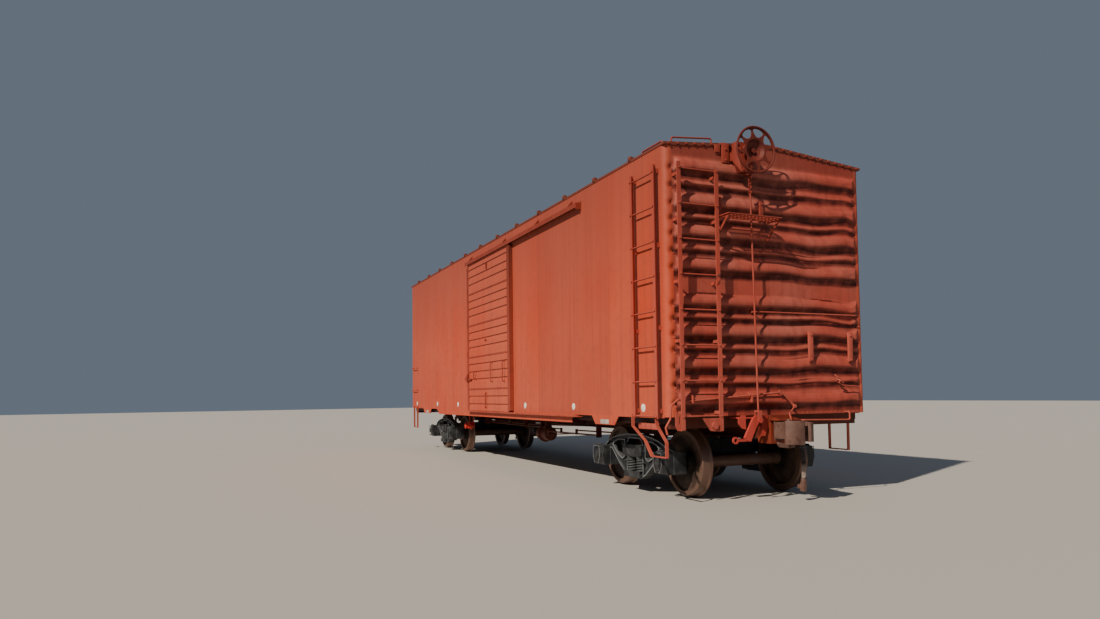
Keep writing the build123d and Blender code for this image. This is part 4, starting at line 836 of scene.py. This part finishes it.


# Trucks
# Side frames and bolsters are cast steel, painted black, with pale dust on every upper
# edge, rust on the seats, and outer flanges worn to blue grey and lightened as painted highlight.

def cast_steel(name, clean, dusty, rust, dust_share=0.8, rubbed_and_highlit=None):
    """Dull casting: dust lies on what faces up, rust comes in patches, and a flange far out is pale, partly
    rubbed bare and partly painted highlight.
    """
    material, tree, place = start_material(name)
    normal = add(tree, "ShaderNodeNewGeometry", "Normal")
    facing = add(tree, "ShaderNodeSeparateXYZ", "Z", {"Vector": normal})
    # dust lies in patches of 140 mm, and rust scales off in blots of 55 mm
    patches = add(tree, "ShaderNodeTexNoise", "Fac", {"Vector": place, "Scale": 7.0, "Detail": 8.0})
    scale = add(tree, "ShaderNodeTexNoise", "Fac", {"Vector": place, "Scale": 18.0, "Detail": 6.0})
    colour = layered(tree, clean, (patches, 0.42, 0.70, 0.6 * dust_share, dusty),
                     (facing, 0.25, 0.85, dust_share, dusty), (scale, 0.58, 0.72, 0.7, rust))
    if rubbed_and_highlit:
        breadth = add(tree, "ShaderNodeSeparateXYZ", "Y", {"Vector": place})
        reach = add(tree, "ShaderNodeMath", 0, {0: breadth}, operation="ABSOLUTE")
        edge = add(tree, "ShaderNodeMath", 0, {0: reach, 1: rubbed_and_highlit, 2: 0.003}, operation="COMPARE")
        thick = add(tree, "ShaderNodeMapRange", "Result",
                    {"Value": patches, "From Min": 0.30, "From Max": 0.60, "To Min": 0.30, "To Max": 0.75})
        pale = add(tree, "ShaderNodeMath", 0, {0: edge, 1: thick}, operation="MULTIPLY")
        # pale outer flange: partly rubbed bare steel, partly painted highlight
        colour = layered(tree, colour, (pale, 0.0, 1.0, 1.0, "#7e858a"))
    # sand cast skin, drawn at 5 mm so that it shows
    sand = add(tree, "ShaderNodeTexNoise", "Fac", {"Vector": place, "Scale": 180.0, "Detail": 3.0})
    bump = add(tree, "ShaderNodeBump", "Normal", {"Height": sand, "Strength": 0.5, "Distance": 0.002})
    shader = add(tree, "ShaderNodeBsdfPrincipled", "BSDF",
                 {"Base Color": colour, "Roughness": 0.55, "Metallic": 0.15, "Normal": bump})
    add(tree, "ShaderNodeOutputMaterial", inputs={"Surface": shader})
    return material


def on_both_trucks(name, pieces, material):
    """Pieces of the near truck joined, and the same ones half a turn round on the far truck."""
    far_pieces = [other_way_round(piece) for piece in pieces]
    finished("truck_b_" + name, pieces, material, "truck_b")
    finished("truck_a_" + name, far_pieces, material, "truck_a")


# thin black paint over castings, pale along the outer flanges with wear and painted highlight
truck_casting = cast_steel("black painted cast steel of the trucks", "#202327", "#696b6e", "#33251f", 0.5, 1.05)
# wound bar, never painted, dull grey under dust
spring_steel = cast_steel("dusty spring steel", "#3a3e40", "#666b6c", "#382e29", 0.5)
# pale rims, partly bare where the lids are shut often and partly painted highlight
rubbed_and_highlit_steel = cast_steel("cast steel rubbed bare, with painted highlight", "#55595d", "#8f9599", "#463a34", 0.7)
for end in ("a", "b"):
    dress(truck_casting, f"truck_{end}_side_frames", f"truck_{end}_bolster", f"truck_{end}_brake_beams")
    dress(spring_steel, f"truck_{end}_springs")

truck_centre = 4.7
half_wheelbase = 0.838
spring_x = 0.125
spring_y = 1.015
column_x = 0.244
lid_face = 1.203
bolster_face = 1.098

# inner coils, wound the same way and standing in the outer ones
coil = primitive("circle", vertices=6, radius=0.008, fill_type="NOTHING", location=(0.030, 0, 0.262),
                 rotation=(radians(90), 0, 0))
turns = coil.modifiers.new("turns", "SCREW")
turns.axis = "Z"
turns.angle = radians(360)
turns.screw_offset = 0.0255
turns.iterations = 7
turns.steps = 10
turns.render_steps = 10
bpy.ops.object.modifier_apply(modifier="turns")
bpy.ops.object.mode_set(mode="EDIT")
bpy.ops.mesh.select_all(action="SELECT")
bpy.ops.mesh.remove_doubles(threshold=0.0001)
bpy.ops.mesh.fill_holes(sides=8)
bpy.ops.mesh.select_all(action="SELECT")
bpy.ops.mesh.normals_make_consistent(inside=False)
bpy.ops.object.mode_set(mode="OBJECT")
bpy.ops.object.shade_smooth_by_angle(angle=radians(50))
coils = [placed_row(coil, (0, 0, 1), (truck_centre + x, y, 0))
         for x in (-spring_x, spring_x) for y in (-spring_y, spring_y)]
bpy.data.objects.remove(coil)
on_both_trucks("inner_springs", coils, spring_steel)

# a boss and a latch lug cast on each journal box lid, wear plate bolts through the columns,
# and a raised edge round the end of the bolster
wear_bolt = hex_head(0.034)
fittings = []
for side in (-1, 1):
    for x in (truck_centre - half_wheelbase, truck_centre + half_wheelbase):
        fittings.append(round_piece((x, side * lid_face, 0.462), (x, side * 1.216, 0.462), 0.052, 20, 0.004))
        near, far = sorted((side * lid_face, side * 1.222))
        fittings.append(slab((x - 0.022, near, 0.335), (x + 0.022, far, 0.362), 0.004))
    for x in (truck_centre - column_x, truck_centre + column_x):
        for z in (0.400, 0.560):
            fittings.append(placed_row(wear_bolt, (0, side, 0), (x, side * 1.050, z)))
    fittings.append(bent_bar([(truck_centre + x, side * bolster_face, z)
                              for x, z in ((-0.070, 0.505), (-0.140, 0.630),
                                           (0.140, 0.630), (0.070, 0.505))], 0.010))
bpy.data.objects.remove(wear_bolt)
on_both_trucks("fittings", fittings, truck_casting)

# the raised rim of each lid
lid_outline = ((-0.090, 0.582), (0.090, 0.582), (0.100, 0.440), (0.055, 0.338), (-0.055, 0.338),
               (-0.100, 0.440), (-0.090, 0.582))
rims = [bent_bar([(middle + x, side * 1.206, z) for x, z in lid_outline], 0.006)
        for side in (-1, 1) for middle in (truck_centre - half_wheelbase, truck_centre + half_wheelbase)]
# the rims take the pale steel, partly painted highlight
on_both_trucks("lid_rims", rims, rubbed_and_highlit_steel)


# Wheels and axles
# Rolled steel wheels pressed on forged axles. Plates are brown with rust and brake
# dust, and the treads are polished only where they roll.

axle_height = 0.444
tread_radius = 0.419


def rolled_steel(name, axle_place):
    """Rusty rolled steel round one axle: oily at the hub, dusty on the plate, brushed bright on the tread."""
    material, tree, place = start_material(name)
    centred = add(tree, "ShaderNodeMapping", "Vector",
                  {"Vector": place, "Location": (-axle_place, 0, -axle_height)})
    flat = add(tree, "ShaderNodeMapping", "Vector", {"Vector": centred, "Scale": (1.0, 0.0, 1.0)})
    radius = add(tree, "ShaderNodeVectorMath", "Value", {0: flat}, operation="LENGTH")
    # dust comes in patches of 200 mm and rust in blooms of 25 mm
    patches = add(tree, "ShaderNodeTexNoise", "Fac", {"Vector": place, "Scale": 5.0, "Detail": 5.0})
    fine = add(tree, "ShaderNodeTexNoise", "Fac", {"Vector": place, "Scale": 40.0, "Detail": 6.0})
    tread = add(tree, "ShaderNodeMapRange", "Result",
                {"Value": radius, "From Min": tread_radius - 0.014, "From Max": tread_radius - 0.007})
    # dust on the plate, then the rim, rust, oil round the hub and the tread
    colour = layered(tree, "#33251f", (patches, 0.42, 0.62, 1.0, "#5d483c"),
                     (radius, 0.345, 0.365, 1.0, "#5e473b"), (fine, 0.50, 0.72, 0.6, "#4b2c1f"),
                     (radius, 0.24, 0.12, 1.0, "#15100e"), (tread, 0.0, 1.0, 1.0, "#735a50"))
    rough = add(tree, "ShaderNodeMapRange", "Result", {"Value": tread, "To Min": 0.65, "To Max": 0.38})
    metal = add(tree, "ShaderNodeMapRange", "Result", {"Value": tread, "To Min": 0.15, "To Max": 0.65})
    bump = add(tree, "ShaderNodeBump", "Normal", {"Height": fine, "Strength": 0.4, "Distance": 0.0015})
    shader = add(tree, "ShaderNodeBsdfPrincipled", "BSDF",
                 {"Base Color": colour, "Roughness": rough, "Metallic": metal, "Normal": bump})
    add(tree, "ShaderNodeOutputMaterial", inputs={"Surface": shader})
    return material


# bare forging, an even rusty brown
axle_steel = cast_steel("rusty forged steel of the axles", "#5a3f35", "#755b4f", "#44291f", 0.5)
for end, sign in (("b", 1), ("a", -1)):
    for number, offset in (("1", half_wheelbase), ("2", -half_wheelbase)):
        steel = rolled_steel(f"rolled steel of wheelset {end}{number}", sign * (truck_centre + offset))
        dress(steel, f"wheels_{end}{number}")
        dress(axle_steel, f"axle_{end}{number}")


# Couplers
# Cast steel coupler heads with their knuckles, never painted, brown grey with rust
# and dust. The striker behind is painted with the end.

# rough bare casting, matt brown with pale dust on top
coupler_casting = cast_steel("rusty cast steel of the couplers", "#5c4038", "#85695e", "#46291f", 0.8)
dress(coupler_casting, "angle_cocks", "glad_hands")
# sand casting leaves no sharp edge on the heads
heads = rounded(merged_copy("couplers"), 0.009, 3)
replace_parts(finished("rounded_couplers", [heads], coupler_casting, "carbody"), "couplers")
# the end's red, browned by brake dust
striker_paint = freight_car_paint("red brown paint on strikers", "#74291a", "#7d3322", "#42190f", 0.8)
dress(striker_paint, "strikers")


# Studio
# A plain pale floor. One lamp stands for the sun, well up on the near side, its
# shadows soft edged, and a dim blue grey sky all round fills them.

bpy.ops.object.select_all(action="DESELECT")
bpy.ops.mesh.primitive_plane_add(size=160, location=(0, 0, 0))
ground = bpy.context.object
ground.name = "studio_floor"
# smooth matt paper, so it shows nothing but the shadows
floor_paint, tree, place = start_material("pale studio floor")
shader = add(tree, "ShaderNodeBsdfPrincipled", "BSDF", {"Base Color": linear("#b9b6b0"), "Roughness": 0.9})
add(tree, "ShaderNodeOutputMaterial", inputs={"Surface": shader})
ground.data.materials.append(floor_paint)

world = bpy.data.worlds.new("studio")
bpy.context.scene.world = world
world.use_nodes = True
sky = world.node_tree.nodes["Background"].inputs
sky["Color"].default_value = linear("#b4c6dc")
sky["Strength"].default_value = 0.28

# angles of the lamp, counted from +X towards +Y and from the floor up
sun_azimuth = radians(-64)
sun_elevation = radians(37)
lamp = bpy.data.lights.new("key", "SUN")
lamp.energy = 5.0
lamp.angle = radians(1.2)
lamp.color = linear("#fff0dc")[:3]
sun = bpy.data.objects.new("key", lamp)
bpy.context.scene.collection.objects.link(sun)
towards = Vector((cos(sun_azimuth) * cos(sun_elevation), sin(sun_azimuth) * cos(sun_elevation),
                  sin(sun_elevation)))
sun.rotation_euler = towards.to_track_quat("Z", "Y").to_euler()
